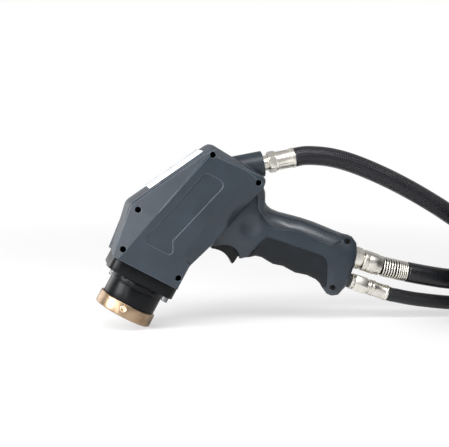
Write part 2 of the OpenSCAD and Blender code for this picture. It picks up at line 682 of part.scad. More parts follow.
mirror_half = 7;
mirror_reach = 11;
mirror_t = 2.5;
mirror_tilt = (90 - entry_angle) / 2;
mount_deep = 4;
clip_in = 2;
clip_half = 4;
disc_t = 1.4;
module mirror_frame() translate([0, 0, fold_w]) rotate([0, mirror_tilt, 0]) children();
module swing_mirror() color([0.85, 0.87, 0.9]) posed() mirror_frame()
    translate([-mirror_t, -mirror_half, -mirror_reach]) cube([mirror_t, 2 * mirror_half, 2 * mirror_reach]);
module mirror_mount() color([0.3, 0.3, 0.32]) posed() mirror_frame() {
    translate([-mirror_t - mount_deep - fit, -mirror_half + clip_in, -clip_half])
        cube([mount_deep, 2 * mirror_half - clip_in + disc_t / 2, 2 * clip_half]);
    difference() {
        translate([0, mirror_half + hair / 3, 0]) rotate([-90, 0, 0])
            cylinder(h = disc_t, r = mirror_t + mount_deep, $fn = 32);
        translate([0, mirror_half, 0]) rotate([-90, 0, 0]) cylinder(h = 2 * disc_t, r = shaft_r + fit, $fn = 32);
    }
}
module scanner_shaft() color([0.75, 0.75, 0.77]) posed() translate([0, mirror_half + hair / 2, fold_w])
    rotate([-90, 0, 0]) cylinder(h = motor_y - mirror_half + motor_len - 2 * shaft_end, r = shaft_r, $fn = 32);

// The driver board stands on four spacers on the near shell's inside.
spacer_len = 11;
spacer_bore = 1.3;
spacer_bore_len = 5;
board_t = 1.6;
board_edge = 4;
board_y = -head_half + wall + spacer_len;
board_low = foot_w + head_h * 0.222;
board_high = foot_w + head_h * 0.611;
board_front = -head_front * 0.245;
board_rear = head_rear * 0.258;
board_wide = board_rear - board_front;
board_tall = board_high - board_low;
spacer_places = [for (u = [board_front + board_edge, board_rear - board_edge],
    w = [board_low + board_edge, board_high - board_edge]) [u, w]];
module driver_board() color([0.1, 0.35, 0.2]) posed() difference() {
    translate([board_front, board_y, board_low]) cube([board_wide, board_t, board_tall]);
    for (p = spacer_places) across(p[0], p[1]) cylinder(h = wide, r = spacer_bore, center = true, $fn = 24);
}
// Chips: place, width and height as shares of the board, thickness as a share of its thickness. Capacitors: heights.
chip_shares = [[0.07, 0.46, 0.43, 0.21, 1.9], [0.07, 0.64, 0.29, 0.21, 3.75], [0.61, 0.21, 0.32, 0.25, 3.1]];
can_shares = [0.607, 0.768, 0.929];
can_r = 3;
can_len = 8;
module board_parts() color([0.15, 0.15, 0.16]) posed() translate([board_front, board_y + board_t, board_low]) {
    for (c = chip_shares) translate([board_wide * c[0], 0, board_tall * c[1]])
        cube([board_wide * c[2], board_t * c[4], board_tall * c[3]]);
    for (c = can_shares) translate([board_wide / 2, 0, board_tall * c]) rotate([-90, 0, 0])
        cylinder(h = can_len, r = can_r, $fn = 32);
}
module board_spacers() color([0.75, 0.62, 0.35]) posed() for (p = spacer_places)
    translate([p[0], board_y - hair / 3, p[1]]) rotate([90, 0, 0]) difference() {
        cylinder(h = spacer_len - 2 * hair / 3, r = 2 * spacer_bore, $fn = 6);
        translate([0, 0, -over]) cylinder(h = spacer_bore_len, r = spacer_bore, $fn = 24);
    }

// The trigger: its front is an arc, its back an arc about the pivot, both sized by the finger arch.
front_arc_shares = [0.482, -2.325];
heel_shares = [1.548, -1.048];
back_arc_share = 1.711;
front_arc = pivot + front_arc_shares * arch_r;
front_arc_r = 1.5 * arch_r;
back_arc_r = arch_r * back_arc_share;
top_up = 3.5;
top_step = 1.5;
hub_wall = 2.2;
rib_out = 0.5;
trigger_top = pivot[1] + top_up;
trigger_pts = concat(
    [for (k = [0:8]) let (a = mix(113.6, 48.4, k / 8)) front_arc + front_arc_r * [cos(a), sin(a)]],
    [pivot + heel_shares * arch_r],
    [for (k = [0:4]) let (a = mix(-23, 6, k / 4)) pivot + back_arc_r * [cos(a), sin(a)]],
    [[pivot[0] + back_arc_r - top_step, trigger_top], [pivot[0] + pin_r, trigger_top]],
    [for (k = [0:4]) let (a = mix(60, 180, k / 4)) pivot + (pin_r + hub_wall) * [cos(a), sin(a)]]);
module trigger() color([0.1, 0.11, 0.12]) posed() difference() {
    side_plate(trigger_pts, trigger_t / 2);
    across(pivot[0], pivot[1]) cylinder(h = 2 * trigger_t, r = pin_r + fit, center = true, $fn = 32);
    for (k = [-2:2]) translate([0, k * trigger_t / 6, 0]) across(front_arc[0], front_arc[1])
        cylinder(h = trigger_t / 16, r = front_arc_r + rib_out, center = true, $fn = 96);
}
module trigger_pin() color([0.7, 0.7, 0.72]) posed() across(pivot[0], pivot[1])
    cylinder(h = grip_width * 0.68, r = pin_r, center = true, $fn = 32);

switch_out = 9;
switch_front = 10;
switch_len = 15;
switch_half = 4;
switch_h = 11;
plunger_r = 1.5;
plunger_len = 8;
plunger_shown = 4;
switch_u = pivot[0] + switch_out;
switch_low = trigger_top + plunger_shown;
module trigger_switch() color([0.12, 0.12, 0.13]) posed() difference() {
    translate([switch_u - switch_front, -switch_half, switch_low]) cube([switch_len, 2 * switch_half, switch_h]);
    translate([switch_u, 0, switch_low - over]) cylinder(h = plunger_len + over, r = plunger_r + fit, $fn = 32);
}
module switch_plunger() color([0.75, 0.2, 0.15]) posed() translate([switch_u, 0, trigger_top + hair])
    cylinder(h = plunger_len, r = plunger_r, $fn = 32);

// A helical spring between the trigger and a cup on the switch bracket.
function wound(p0, axis, side, radius, pitch, turns, steps) = [for (k = [0:turns * steps])
    let (a = 360 * k / steps, other = cross(axis, side))
    p0 + axis * pitch * k / steps + radius * (side * cos(a) + other * sin(a))];
function frames(path, first, last) = let (n = len(path) - 1) [for (i = [0:n])
    i == 0 && first != undef ? first : i == n && last != undef ? last
    : unit(path[min(i + 1, n)] - path[max(i - 1, 0)])];
module tube(path, r, sides, ref, turn = 0, first = undef, last = undef) {
    dirs = frames(path, first, last);
    loft([for (i = [0:len(path) - 1]) let (a = unit(cross(dirs[i], ref)), b = cross(dirs[i], a))
        [for (k = [0:sides - 1]) path[i] + r * (a * cos(turn + 360 * k / sides) + b * sin(turn + 360 * k / sides))]]);
}
spring_out = 23;
spring_u = pivot[0] + spring_out;
spring_r = 2.6;
spring_wire = 0.45;
spring_turns = 6;
spring_low = trigger_top + spring_wire + hair;
bracket_low = switch_low + switch_h + hair / 3;
spring_len = bracket_low - hair - spring_wire - spring_low;
module trigger_spring() color([0.75, 0.75, 0.78]) posed() translate([spring_u, 0, spring_low])
    tube(wound([0, 0, 0], [0, 0, 1], [1, 0, 0], spring_r, spring_len / spring_turns, spring_turns, 8),
        spring_wire, 6, [0, 0, 1]);
bracket_t = 2;
bracket_end = 3.5;
bracket_hole = 2;
bracket_half = grip_width / 2 * 1.1 - skin - wall;
module switch_bracket() color([0.7, 0.71, 0.73]) posed() difference() {
    translate([switch_u - switch_front, -bracket_half, bracket_low])
        cube([spring_u - switch_u + switch_front + bracket_end, 2 * bracket_half, bracket_t]);
    translate([switch_u - bracket_hole, 0, bracket_low - over])
        cylinder(h = bracket_t + 2 * over, r = bracket_hole, $fn = 24);
}

// Fittings of the fibre hose on the head.
fibre_nipple_len = 6;
fibre_nut_len = 7.5;
fibre_ferrule_len = 20.5;
fibre_nipple_end = boss_end + fibre_nipple_len;
fibre_nut_end = fibre_nipple_end + fibre_nut_len;
fibre_end = fibre_nut_end + fibre_ferrule_len;
module fibre_inlet() color([0.8, 0.8, 0.78]) posed() entry_frame() difference() {
    union() {
        translate([0, 0, tube_high + hair / 3]) cylinder(h = boss_end - tube_high, r = tube_r, $fn = 64);
        translate([0, 0, boss_end - over]) cylinder(h = fibre_nipple_end - boss_end + over, r = nipple_r, $fn = 64);
    }
    translate([0, 0, tube_high - over]) cylinder(h = boss_end, r = tube_r / 3, $fn = 32);
}
module fibre_nut() color([0.8, 0.8, 0.78]) posed() entry_frame() translate([0, 0, fibre_nipple_end])
    difference() {
        intersection() {
            cylinder(h = fibre_nut_len, r = fibre_r * 1.13, $fn = 6);
            cylinder(h = fibre_nut_len, r1 = fibre_r * 1.02, r2 = fibre_r * 1.6, $fn = 64);
        }
        translate([0, 0, -over]) cylinder(h = 2 * over + fibre_nut_len, r = tube_r / 3, $fn = 32);
    }
rim_share = 0.18;
flute_share = 0.88;
flute_w_share = 0.1;
module crimped(low, high, r, count) {
    rim = (high - low) * rim_share;
    difference() {
        union() {
            translate([0, 0, low]) cylinder(h = high - low, r = r * 0.97, $fn = 64);
            translate([0, 0, high - rim]) cylinder(h = rim, r = r * 1.04, $fn = 64);
            translate([0, 0, low]) cylinder(h = rim / 2, r = r * 1.02, $fn = 64);
        }
        for (k = [0:count - 1]) rotate([0, 0, (k + 0.5) * 360 / count])
            translate([r * flute_share, -r * flute_w_share / 2, low + rim])
                cube([r * flute_w_share * 3, r * flute_w_share, high - low - 2.3 * rim]);
    }
}
module fibre_ferrule() color([0.8, 0.8, 0.78]) posed() entry_frame() crimped(fibre_nut_end, fibre_end, fibre_r, 8);

// Fittings on the end of the handle.
cable_nut_len = 10;
cable_neck = 2;
cable_nut_end = grip_len + cable_nut_len;
module cable_nut() color([0.8, 0.8, 0.78]) posed() grip_frame() {
    along_grip(grip_len - end_wall, cable_n) cylinder(h = end_wall + over, r = nipple_r, $fn = 48);
    along_grip(grip_len + hair / 3, cable_n) intersection() {
        cylinder(h = cable_nut_end - grip_len - hair / 3, r = cable_r * 1.06, $fn = 6);
        cylinder(h = cable_nut_end - grip_len - hair / 3, r1 = cable_r * 1.5, r2 = cable_r * 0.92, $fn = 64);
    }
}
module cable_ferrule() color([0.8, 0.8, 0.78]) posed() grip_frame() {
    along_grip(cable_nut_end, cable_n) cylinder(h = cable_neck + over, r = cable_r * 0.78, $fn = 48);
    along_grip(cable_nut_end + cable_neck, cable_n) rotate([0, 0, 30]) intersection() {
        cylinder(h = cable_s - cable_nut_end - cable_neck, r = cable_r * 1.04, $fn = 6);
        cylinder(h = cable_s - cable_nut_end - cable_neck, r1 = cable_r * 1.02, r2 = cable_r * 0.86, $fn = 64);
    }
}
air_thread_len = 6.5;
air_thread_pitch = 1.6;
air_thread_out = 0.7;
air_lock_t = 3;
air_body_len = 20;
air_ferrule_len = 20;
air_lock_low = grip_len + air_thread_len;
air_body_low = air_lock_low + air_lock_t;
air_body_end = air_body_low + air_body_len;
air_s = air_body_end + air_ferrule_len;
module air_nipple() color([0.35, 0.35, 0.35]) posed() grip_frame() {
    along_grip(grip_len - end_wall, air_n) cylinder(h = end_wall + over, r = air_nipple_r, $fn = 48);
    for (k = [0:3]) along_grip(grip_len + k * air_thread_pitch, air_n)
        cylinder(h = air_thread_pitch * 0.7, r = air_nipple_r + air_thread_out, $fn = 48);
    along_grip(grip_len, air_n) cylinder(h = air_thread_len, r = air_nipple_r, $fn = 48);
}
module air_locknut() color([0.8, 0.8, 0.78]) posed() grip_frame() along_grip(air_lock_low, air_n)
    cylinder(h = air_lock_t, r = air_r * 1.14, $fn = 6);
module air_body() color([0.8, 0.8, 0.78]) posed() grip_frame() along_grip(air_body_low, air_n) intersection() {
    cylinder(h = air_body_len, r = air_r * 1.12, $fn = 6);
    cylinder(h = air_body_len, r1 = air_r * 1.08, r2 = air_r * 1.03, $fn = 64);
}
module air_ferrule() color([0.8, 0.8, 0.78]) posed() grip_frame() translate([0, 0, air_n]) rotate([0, 90, 0])
    crimped(air_body_end, air_s, air_r * 0.96, 8);

// Routes of the hoses, from each fitting to the top of its coil.
function spline(p, i, t) = let (a = p[max(i - 1, 0)], b = p[i], c = p[i + 1], d = p[min(i + 2, len(p) - 1)])
    0.5 * (2 * b + (c - a) * t + (2 * a - 5 * b + 4 * c - d) * t * t + (3 * b - a - 3 * c + d) * t * t * t);
function dense(p, n) = concat([for (i = [0:len(p) - 2], k = [0:n - 1]) spline(p, i, k / n)], [p[len(p) - 1]]);
function gaps(p) = [for (i = [1:len(p) - 1]) norm(p[i] - p[i - 1])];
function runs(g) = [for (i = 0, s = 0; i <= len(g); s = s + (i < len(g) ? g[i] : 0), i = i + 1) s];
function place(p, s, d) = let (k = max([for (i = [0:len(s) - 2]) if (s[i] <= d) i]))
    mix(p[k], p[k + 1], min(1, (d - s[k]) / (s[k + 1] - s[k])));
function length_of(p) = let (s = runs(gaps(p))) s[len(s) - 1];
function part_of(p, d0, d1, n) = let (s = runs(gaps(p))) [for (k = [0:n]) place(p, s, mix(d0, d1, k / n))];

fibre_start = let (e = entry_point(fibre_end)) posed_point(e[0], e[1]);
cable_start = let (g = grip_point(cable_s, cable_n)) posed_point(g[0], g[1]);
air_start = let (g = grip_point(air_s, air_n)) posed_point(g[0], g[1]);
fibre_axis = [cos(entry_angle - lean), 0, sin(entry_angle - lean)];
grip_axis = [cos(grip_tilt - lean), 0, sin(grip_tilt - lean)];

lane_gap = 0.5;
lane_from = 196;
coil_x = 325;
coil_y = -92.7;
coil_tie = 1.4;
fibre_turn = 1198;
cable_turn = 1288;
air_turn = 1276;
fibre_step = 2 * fibre_r + lane_gap;
cable_step = 2 * cable_r + lane_gap;
air_step = 2 * air_r + lane_gap;
fibre_mid = 87.96;
cable_mid = 82.5;
air_mid = 90.4;
air_layer = air_r + coil_tie;
cable_layer = air_layer + air_step + air_r + cable_r + lane_gap;
fibre_layer = cable_layer + cable_step + cable_r + fibre_r + lane_gap;
fibre_entry = coil_y + fibre_mid + fibre_step * fibre_turn / 720;
cable_entry = coil_y + cable_mid + cable_step * cable_turn / 720;
air_entry = coil_y + air_mid + air_step * air_turn / 720;

function ease(t) = let (c = max(0, min(1, t))) c * c * (3 - 2 * c);
function shifted(p, y) = [for (q = p) [q[0], y * ease((q[0] - lane_from) / (coil_x - lane_from)), q[1]]];

fibre_route = concat(shifted([
    [60, 175.6], [74, 174.4], [88, 171.6], [102, 167.4], [116, 162.2], [130, 156.3],
    [144, 149.9], [158, 142.9], [172, 135.4], [186, 127.4], [200, 119], [212, 111.3],
    [224, 104.2], [237, 98], [251, 93.1], [267, 89.7], [285, 87.9]], fibre_entry),
    [[304, fibre_entry - 0.6, fibre_layer], [coil_x, fibre_entry, fibre_layer]]);
cable_route = concat(shifted([
    [148, 54.3], [156, 52.3], [167, 49.9], [178, 47.6], [191, 45.1], [204, 42.8],
    [217, 41], [230, 39.9], [244, 39.6], [258, 40.1], [272, 41.1], [287, 42.4]], cable_entry),
    [[305, cable_entry - 0.7, cable_layer], [coil_x, cable_entry, cable_layer]]);
air_route = concat(shifted([
    [152, 25.4], [163, 22.9], [175, 20.7], [188, 18.8], [201, 17.1], [214, 15.6],
    [228, 14.1], [243, 12.5], [259, 11], [276, 9.7], [291, 9]], air_entry),
    [[307, air_entry - 0.5, air_layer], [coil_x, air_entry, air_layer]]);

// The coils: each hose spirals in on one layer, climbs, and spirals out again on the next.
coil_steps = 24;
function coil_at(a, turn, mid, step, z) = let (m = abs(a - turn / 2),
        r = mid + step * m / 360)
    [coil_x + r * sin(a), coil_y + r * cos(a), z + step * ease((a - turn / 2 + 90) / 180)];
function coil_path(turn, mid, step, z) = let (n = round(turn * coil_steps / 360))
    [for (k = [0:n]) coil_at(turn * k / n, turn, mid, step, z)];

fibre_path = dense(concat([fibre_start, fibre_start + fibre_axis * fibre_r], fibre_route), 4);
cable_path = dense(concat([cable_start], cable_route), 4);
air_path = dense(concat([air_start, air_start + grip_axis * air_r * 0.8], air_route), 4);

free_rings = 12;
sleeve_axis = let (s = runs(gaps(cable_path)))
    unit(place(cable_path, s, cable_sleeve + over) - place(cable_path, s, cable_sleeve - over));
coil_entry = [1, 0, 0];
function free_path(path, d0, d1) = part_of(path, d0, d1, free_rings);
module fibre_hose_free() color([0.2, 0.2, 0.22])
    tube(free_path(fibre_path, 0, length_of(fibre_path)), fibre_r, 8, [0, 1, 0], 22.5, fibre_axis, coil_entry);
module cable_hose_free() color([0.2, 0.2, 0.22])
    tube(free_path(cable_path, cable_sleeve, length_of(cable_path)), cable_r, 8, [0, 1, 0], 22.5,
        sleeve_axis, coil_entry);
module air_hose_free() color([0.2, 0.2, 0.22])
    tube(free_path(air_path, 0, length_of(air_path)), air_r, 8, [0, 1, 0], 22.5, grip_axis, coil_entry);

fibre_coil_path = coil_path(fibre_turn, fibre_mid, fibre_step, fibre_layer);
cable_coil_path = coil_path(cable_turn, cable_mid, cable_step, cable_layer);
air_coil_path = coil_path(air_turn, air_mid, air_step, air_layer);
module coil_tube(path, r, turn) tube(path, r, 6, [0, 0, 1], 30, coil_entry, [cos(turn), -sin(turn), 0]);
module fibre_hose_coil() color([0.2, 0.2, 0.22]) coil_tube(fibre_coil_path, fibre_r, fibre_turn);
module cable_hose_coil() color([0.2, 0.2, 0.22]) coil_tube(cable_coil_path, cable_r, cable_turn);
module air_hose_coil() color([0.2, 0.2, 0.22]) coil_tube(air_coil_path, air_r, air_turn);

// The bare conduit and its spring relief, between the ferrule and the ribbed hose.
core_r = cable_r * 0.7;
relief_turns = 12;
relief_shares = [0.04, 0.965];
relief_r = cable_r * 0.86;
relief_wire = cable_r * 0.077;
module cable_core() color([0.25, 0.25, 0.25])
    tube(part_of(cable_path, 0, cable_sleeve, 4), core_r, 12, [0, 1, 0], 15, grip_axis, sleeve_axis);
function relief_share(t) = t < 0.55 ? t / 1.1 : 0.5 + (t - 0.55) / 0.9;
function relief_point(t) = let (d = cable_sleeve * mix(relief_shares[0], relief_shares[1], t), s = runs(gaps(cable_path)),
        p = place(cable_path, s, d),
        dir = unit(place(cable_path, s, d + over) - p), b = cross(dir, [0, 1, 0]))
    p + relief_r * ([0, 1, 0] * cos(360 * relief_turns * relief_share(t))
        + b * sin(360 * relief_turns * relief_share(t)));
relief_path = [for (k = [0:relief_turns * 8]) relief_point(k / (relief_turns * 8))];
module cable_spring() color([0.8, 0.8, 0.78]) tube(relief_path, relief_wire, 6, grip_axis);

// Ends of the hoses, on the outer lane of each coil.
module end_frame(path, turn) translate(path[len(path) - 1]) rotate([0, 0, -turn]) rotate([0, 90, 0]) children();
// Rows of a turned plug, from the hose outwards: length and radius as shares of the hose's radius, and sides.
fibre_plug_shares = [[1.8, 0.97, 48], [0.4, 0.8, 48], [1.9, 0.98, 48], [1.4, 0.6, 48]];
cable_plug_shares = [[1.27, 0.97, 48], [0.36, 0.8, 48], [1.82, 0.98, 48]];
cable_bore_shares = [2.9, 0.8];
cable_pins_shares = [2.7, 0.6, 0.55];
air_plug_shares = [[1.87, 0.97, 48], [1.33, 0.98, 6], [1.6, 0.7, 48]];
module turned(r, rows) {
    last = len(rows) - 1;
    low = [for (i = 0, z = 0; i <= last; z = z + rows[i][0], i = i + 1) z];
    for (k = [0:last]) translate([0, 0, low[k] * r])
        cylinder(h = rows[k][0] * r + (k < last ? over : 0), r = rows[k][1] * r, $fn = rows[k][2]);
}
module fibre_plug() color([0.75, 0.75, 0.73])
    end_frame(fibre_coil_path, fibre_turn) turned(fibre_r, fibre_plug_shares);
module cable_plug() color([0.75, 0.75, 0.73]) end_frame(cable_coil_path, cable_turn) {
    difference() {
        turned(cable_r, cable_plug_shares);
        translate([0, 0, cable_r * cable_bore_shares[0]])
            cylinder(h = cable_r, r = cable_r * cable_bore_shares[1], $fn = 48);
    }
    translate([0, 0, cable_r * cable_pins_shares[0]])
        cylinder(h = cable_r * cable_pins_shares[2], r = cable_r * cable_pins_shares[1], $fn = 48);
}
module air_plug() color([0.75, 0.75, 0.73]) end_frame(air_coil_path, air_turn) turned(air_r, air_plug_shares);

// Straps round the whole pile of coils.
tie_t = 1.2;
tie_w = 20;
tie_gap = 0.2;
tie_angles = [62, 170, 290];
tie_round = 3;
function lanes(a, turn, mid, step) = [for (k = [0:4]) let (th = a + 360 * k)
    if (th <= turn) mid + step * abs(th - turn / 2) / 360];
module coil_tie_at(a) {
    fibre_lanes = lanes(a, fibre_turn, fibre_mid, fibre_step);
    cable_lanes = lanes(a, cable_turn, cable_mid, cable_step);
    air_lanes = lanes(a, air_turn, air_mid, air_step);
    near = min(min(fibre_lanes) - fibre_r, min(cable_lanes) - cable_r, min(air_lanes) - air_r) - tie_gap - tie_t;
    far = max(max(fibre_lanes) + fibre_r, max(cable_lanes) + cable_r, max(air_lanes) + air_r) + tie_gap + tie_t;
    high = fibre_layer + fibre_step + fibre_r + tie_gap + tie_t;
    line = [[near, 0], [near, high], [far, high], [far, 0]];
    translate([coil_x, coil_y, 0]) rotate([0, 0, 90 - a]) rotate([90, 0, 0])
        linear_extrude(tie_w, center = true) difference() {
            polygon(soften(line, [for (p = line) tie_round]));
            polygon(soften(inset(line, tie_t), [for (p = line) tie_round - tie_t]));
        }
}
module coil_ties() color([0.08, 0.08, 0.08]) for (a = tie_angles) coil_tie_at(a);

function least_gap(p, r, apart) = min([for (i = [0:len(p) - 1], j = [i + apart:1:len(p) - 1])
    norm(p[i] - p[j])]) - 2 * r;
echo(fibre = length_of(fibre_path) + length_of(fibre_coil_path));
echo(cable = length_of(cable_path) + length_of(cable_coil_path));
echo(air = length_of(air_path) + length_of(air_coil_path));
echo(fibre_gap = least_gap(fibre_coil_path, fibre_r, coil_steps / 2));
echo(cable_gap = least_gap(cable_coil_path, cable_r, coil_steps / 2));
echo(air_gap = least_gap(air_coil_path, air_r, coil_steps / 2));
echo(relief_gap = least_gap(relief_path, relief_wire, 7));

left_shell();
right_shell();
grip_rubber();
backstrap();
shell_screws();
thread_inserts();
lens_flange();
flange_screws();
lens_barrel();
focus_lens_upper();
focus_lens_lower();
lens_spacer();
lens_retainer();
protective_window();
window_seal();
window_ring();
optics_frame();
frame_screws();
collimator_tube();
collimator_lens();
galvo_motor();
scanner_shaft();
mirror_mount();
swing_mirror();
driver_board();
board_parts();
board_spacers();
trigger();
trigger_pin();
trigger_spring();
trigger_switch();
switch_plunger();
switch_bracket();
fibre_inlet();
fibre_nut();
fibre_ferrule();
cable_nut();
cable_ferrule();
cable_core();
cable_spring();
air_nipple();
air_locknut();
air_body();
air_ferrule();
fibre_hose_free();
fibre_hose_coil();
cable_hose_free();
cable_hose_coil();
air_hose_free();
air_hose_coil();
fibre_plug();
cable_plug();
air_plug();
coil_ties();
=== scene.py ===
# %% [markdown]
# # A handheld laser machine, dressed for the camera
# The CAD model gives every piece its place. This lesson loads it as a fixed frame, sets the camera, lays the three
# hoses, and then gives each piece its finish: moulded housing, rubber, anodised metal, brass and nickel.

# %% Load the frame
import json
import math

import bmesh
import bpy
import numpy as np
from mathutils import Matrix, Vector

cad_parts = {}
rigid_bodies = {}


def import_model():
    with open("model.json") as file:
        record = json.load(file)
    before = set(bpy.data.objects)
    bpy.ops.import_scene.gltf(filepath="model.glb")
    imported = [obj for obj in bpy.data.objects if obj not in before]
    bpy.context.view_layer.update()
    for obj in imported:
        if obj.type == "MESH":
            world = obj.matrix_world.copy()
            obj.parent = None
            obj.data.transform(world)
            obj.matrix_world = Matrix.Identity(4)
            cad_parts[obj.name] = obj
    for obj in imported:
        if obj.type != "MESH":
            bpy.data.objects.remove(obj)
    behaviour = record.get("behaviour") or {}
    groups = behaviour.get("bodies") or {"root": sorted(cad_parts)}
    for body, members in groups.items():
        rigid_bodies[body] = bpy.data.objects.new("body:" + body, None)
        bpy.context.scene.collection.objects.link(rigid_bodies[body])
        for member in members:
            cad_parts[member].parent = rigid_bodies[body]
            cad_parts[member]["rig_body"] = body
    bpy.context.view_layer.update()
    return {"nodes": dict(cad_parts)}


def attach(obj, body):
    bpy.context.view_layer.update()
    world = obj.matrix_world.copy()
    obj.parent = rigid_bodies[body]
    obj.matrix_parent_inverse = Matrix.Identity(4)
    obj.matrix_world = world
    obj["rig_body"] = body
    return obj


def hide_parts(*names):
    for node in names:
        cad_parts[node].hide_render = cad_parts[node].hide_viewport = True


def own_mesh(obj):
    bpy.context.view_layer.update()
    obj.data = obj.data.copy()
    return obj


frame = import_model()

# %% Driving sizes of the CAD source, in mm
MM = 0.001
LEAN = math.radians(28.5)
LIFT, CENTRE_X = 14.649, 140.41
FOOT_W, FOLD_W, HEAD_H = 51, 159, 144
HEAD_FRONT, HEAD_REAR, HEAD_HALF = 49, 62, 38
RING_R, RING_H = 30.7, 13.6
ENTRY, GRIP_TILT = math.radians(39), math.radians(9)
GRIP_U, GRIP_W = 60, 141.432
GRIP_LONG, GRIP_FRONT, GRIP_BACK = 131, 33, 22
FIBRE_R, CABLE_R, AIR_R = 10, 11, 7.5
FIBRE_END, CABLE_END, AIR_END = 106, 163, 180.5
print("head", HEAD_H, "mm high, handle", GRIP_LONG, "mm long, leaning", round(math.degrees(LEAN), 1), "degrees")


def posed_point(u, w, y=0):
    """A place on the gun, forward u and up w along its beam, in metres in the row frame."""
    return Vector((
        (u * math.cos(LEAN) + w * math.sin(LEAN) - CENTRE_X) * MM,
        y * MM,
        (LIFT - u * math.sin(LEAN) + w * math.cos(LEAN)) * MM))


# %% [markdown]
# ## The camera
# The photograph looks at the machine's side from slightly above and slightly from the left, from about a metre
# away. A long lens keeps the head's edges nearly parallel. Its place was found from a few corners of the head.

# %% Camera
camera_data = bpy.data.cameras.new("camera")
camera_data.lens = 86.8
camera_data.sensor_width = 36
camera = bpy.data.objects.new("camera", camera_data)
bpy.context.scene.collection.objects.link(camera)
camera.location = (-0.2046, -1.1054, 0.2229)
camera.rotation_euler = (math.radians(90 - 5.98), 0, math.radians(-8.8))
bpy.context.scene.camera = camera
bpy.context.scene.view_settings.view_transform = "Standard"
print("camera at", tuple(round(c, 3) for c in camera.location), "lens", camera_data.lens)

# %% [markdown]
# ## The hoses' routes
# Each hose leaves its fitting straight, sinks under its own weight towards the floor, and is then wound into a
# stack of round coils just outside the picture, held by three straps. The same points are in the CAD source, so
# the drawn hoses lie exactly where the solids are. A Catmull-Rom curve runs smoothly through them.

# %% Helpers of the routes
COIL_X, COIL_Y = 325, -92.7
LANE_GAP, COIL_TIE = 0.5, 1.4
SHIFT_FROM = 196
SPAN_STEPS, TURN_POINTS = 6, 72


def ease(t):
    """A soft step from 0 to 1."""
    c = max(0.0, min(1.0, t))
    return c * c * (3 - 2 * c)


def shifted(points, y):
    """Moves a flat route sideways, more and more, towards its lane of the coil."""
    return [(x, y * ease((x - SHIFT_FROM) / (COIL_X - SHIFT_FROM)), z) for x, z in points]


def dense(points):
    """A Catmull-Rom curve through the points."""
    p = [Vector(q) for q in points]
    made = []
    for i in range(len(p) - 1):
        a, b, c, d = p[max(i - 1, 0)], p[i], p[i + 1], p[min(i + 2, len(p) - 1)]
        for k in range(SPAN_STEPS):
            t = k / SPAN_STEPS
            made.append(0.5 * (2 * b + (c - a) * t + (2 * a - 5 * b + 4 * c - d) * t * t
                               + (3 * b - a - 3 * c + d) * t ** 3))
    return made + [p[-1]]


def coil(turn, mid, step, z):
    """A coil that spirals in on one layer, climbs, and spirals out again on the next."""
    count = round(turn * TURN_POINTS / 360)
    made = []
    for k in range(count + 1):
        a = turn * k / count
        r = mid + step * abs(a - turn / 2) / 360
        made.append(Vector((
            COIL_X + r * math.sin(math.radians(a)),
            COIL_Y + r * math.cos(math.radians(a)),
            z + step * ease((a - turn / 2 + 90) / 180))))
    return made


def arc_lengths(points):
    """How far along the line each of its points lies."""
    steps = [(b - a).length for a, b in zip(points, points[1:])]
    return np.concatenate([[0.0], np.cumsum(steps)])


def evenly(points, spacing):
    """The same line with its points an equal distance apart."""
    s = arc_lengths(points)
    count = max(2, round(s[-1] / spacing))
    at = np.linspace(0, s[-1], count + 1)
    xyz = np.array([tuple(p) for p in points])
    return [Vector([float(np.interp(d, s, xyz[:, i])) for i in range(3)]) for d in at]


# %% Routes of the three hoses


def in_mm(v):
    return Vector(v) / MM


def on_inlet(along):
    """A place on the axis of the fibre's inlet, in mm."""
    return in_mm(posed_point(along * math.cos(ENTRY), FOLD_W + along * math.sin(ENTRY)))


def on_handle(along, off):
    """A place along the handle and off its axis, in mm."""
    return in_mm(posed_point(
        GRIP_U + along * math.cos(GRIP_TILT) - off * math.sin(GRIP_TILT),
        GRIP_W + along * math.sin(GRIP_TILT) + off * math.cos(GRIP_TILT)))


inlet_axis = Vector((math.cos(ENTRY - LEAN), 0, math.sin(ENTRY - LEAN)))
handle_axis = Vector((math.cos(GRIP_TILT - LEAN), 0, math.sin(GRIP_TILT - LEAN)))
CABLE_OFF, AIR_OFF = GRIP_BACK * 0.09, -GRIP_FRONT * 0.706
fibre_start = on_inlet(FIBRE_END)
cable_start = on_handle(CABLE_END, CABLE_OFF)
air_start = on_handle(AIR_END, AIR_OFF)

fibre_step, cable_step, air_step = 2 * FIBRE_R + LANE_GAP, 2 * CABLE_R + LANE_GAP, 2 * AIR_R + LANE_GAP
air_layer = AIR_R + COIL_TIE
cable_layer = air_layer + air_step + AIR_R + CABLE_R + LANE_GAP
fibre_layer = cable_layer + cable_step + CABLE_R + FIBRE_R + LANE_GAP
FIBRE_TURN, CABLE_TURN, AIR_TURN = 1198, 1288, 1276
FIBRE_MID, CABLE_MID, AIR_MID = 87.96, 82.5, 90.4
fibre_entry = COIL_Y + FIBRE_MID + fibre_step * FIBRE_TURN / 720
cable_entry = COIL_Y + CABLE_MID + cable_step * CABLE_TURN / 720
air_entry = COIL_Y + AIR_MID + air_step * AIR_TURN / 720

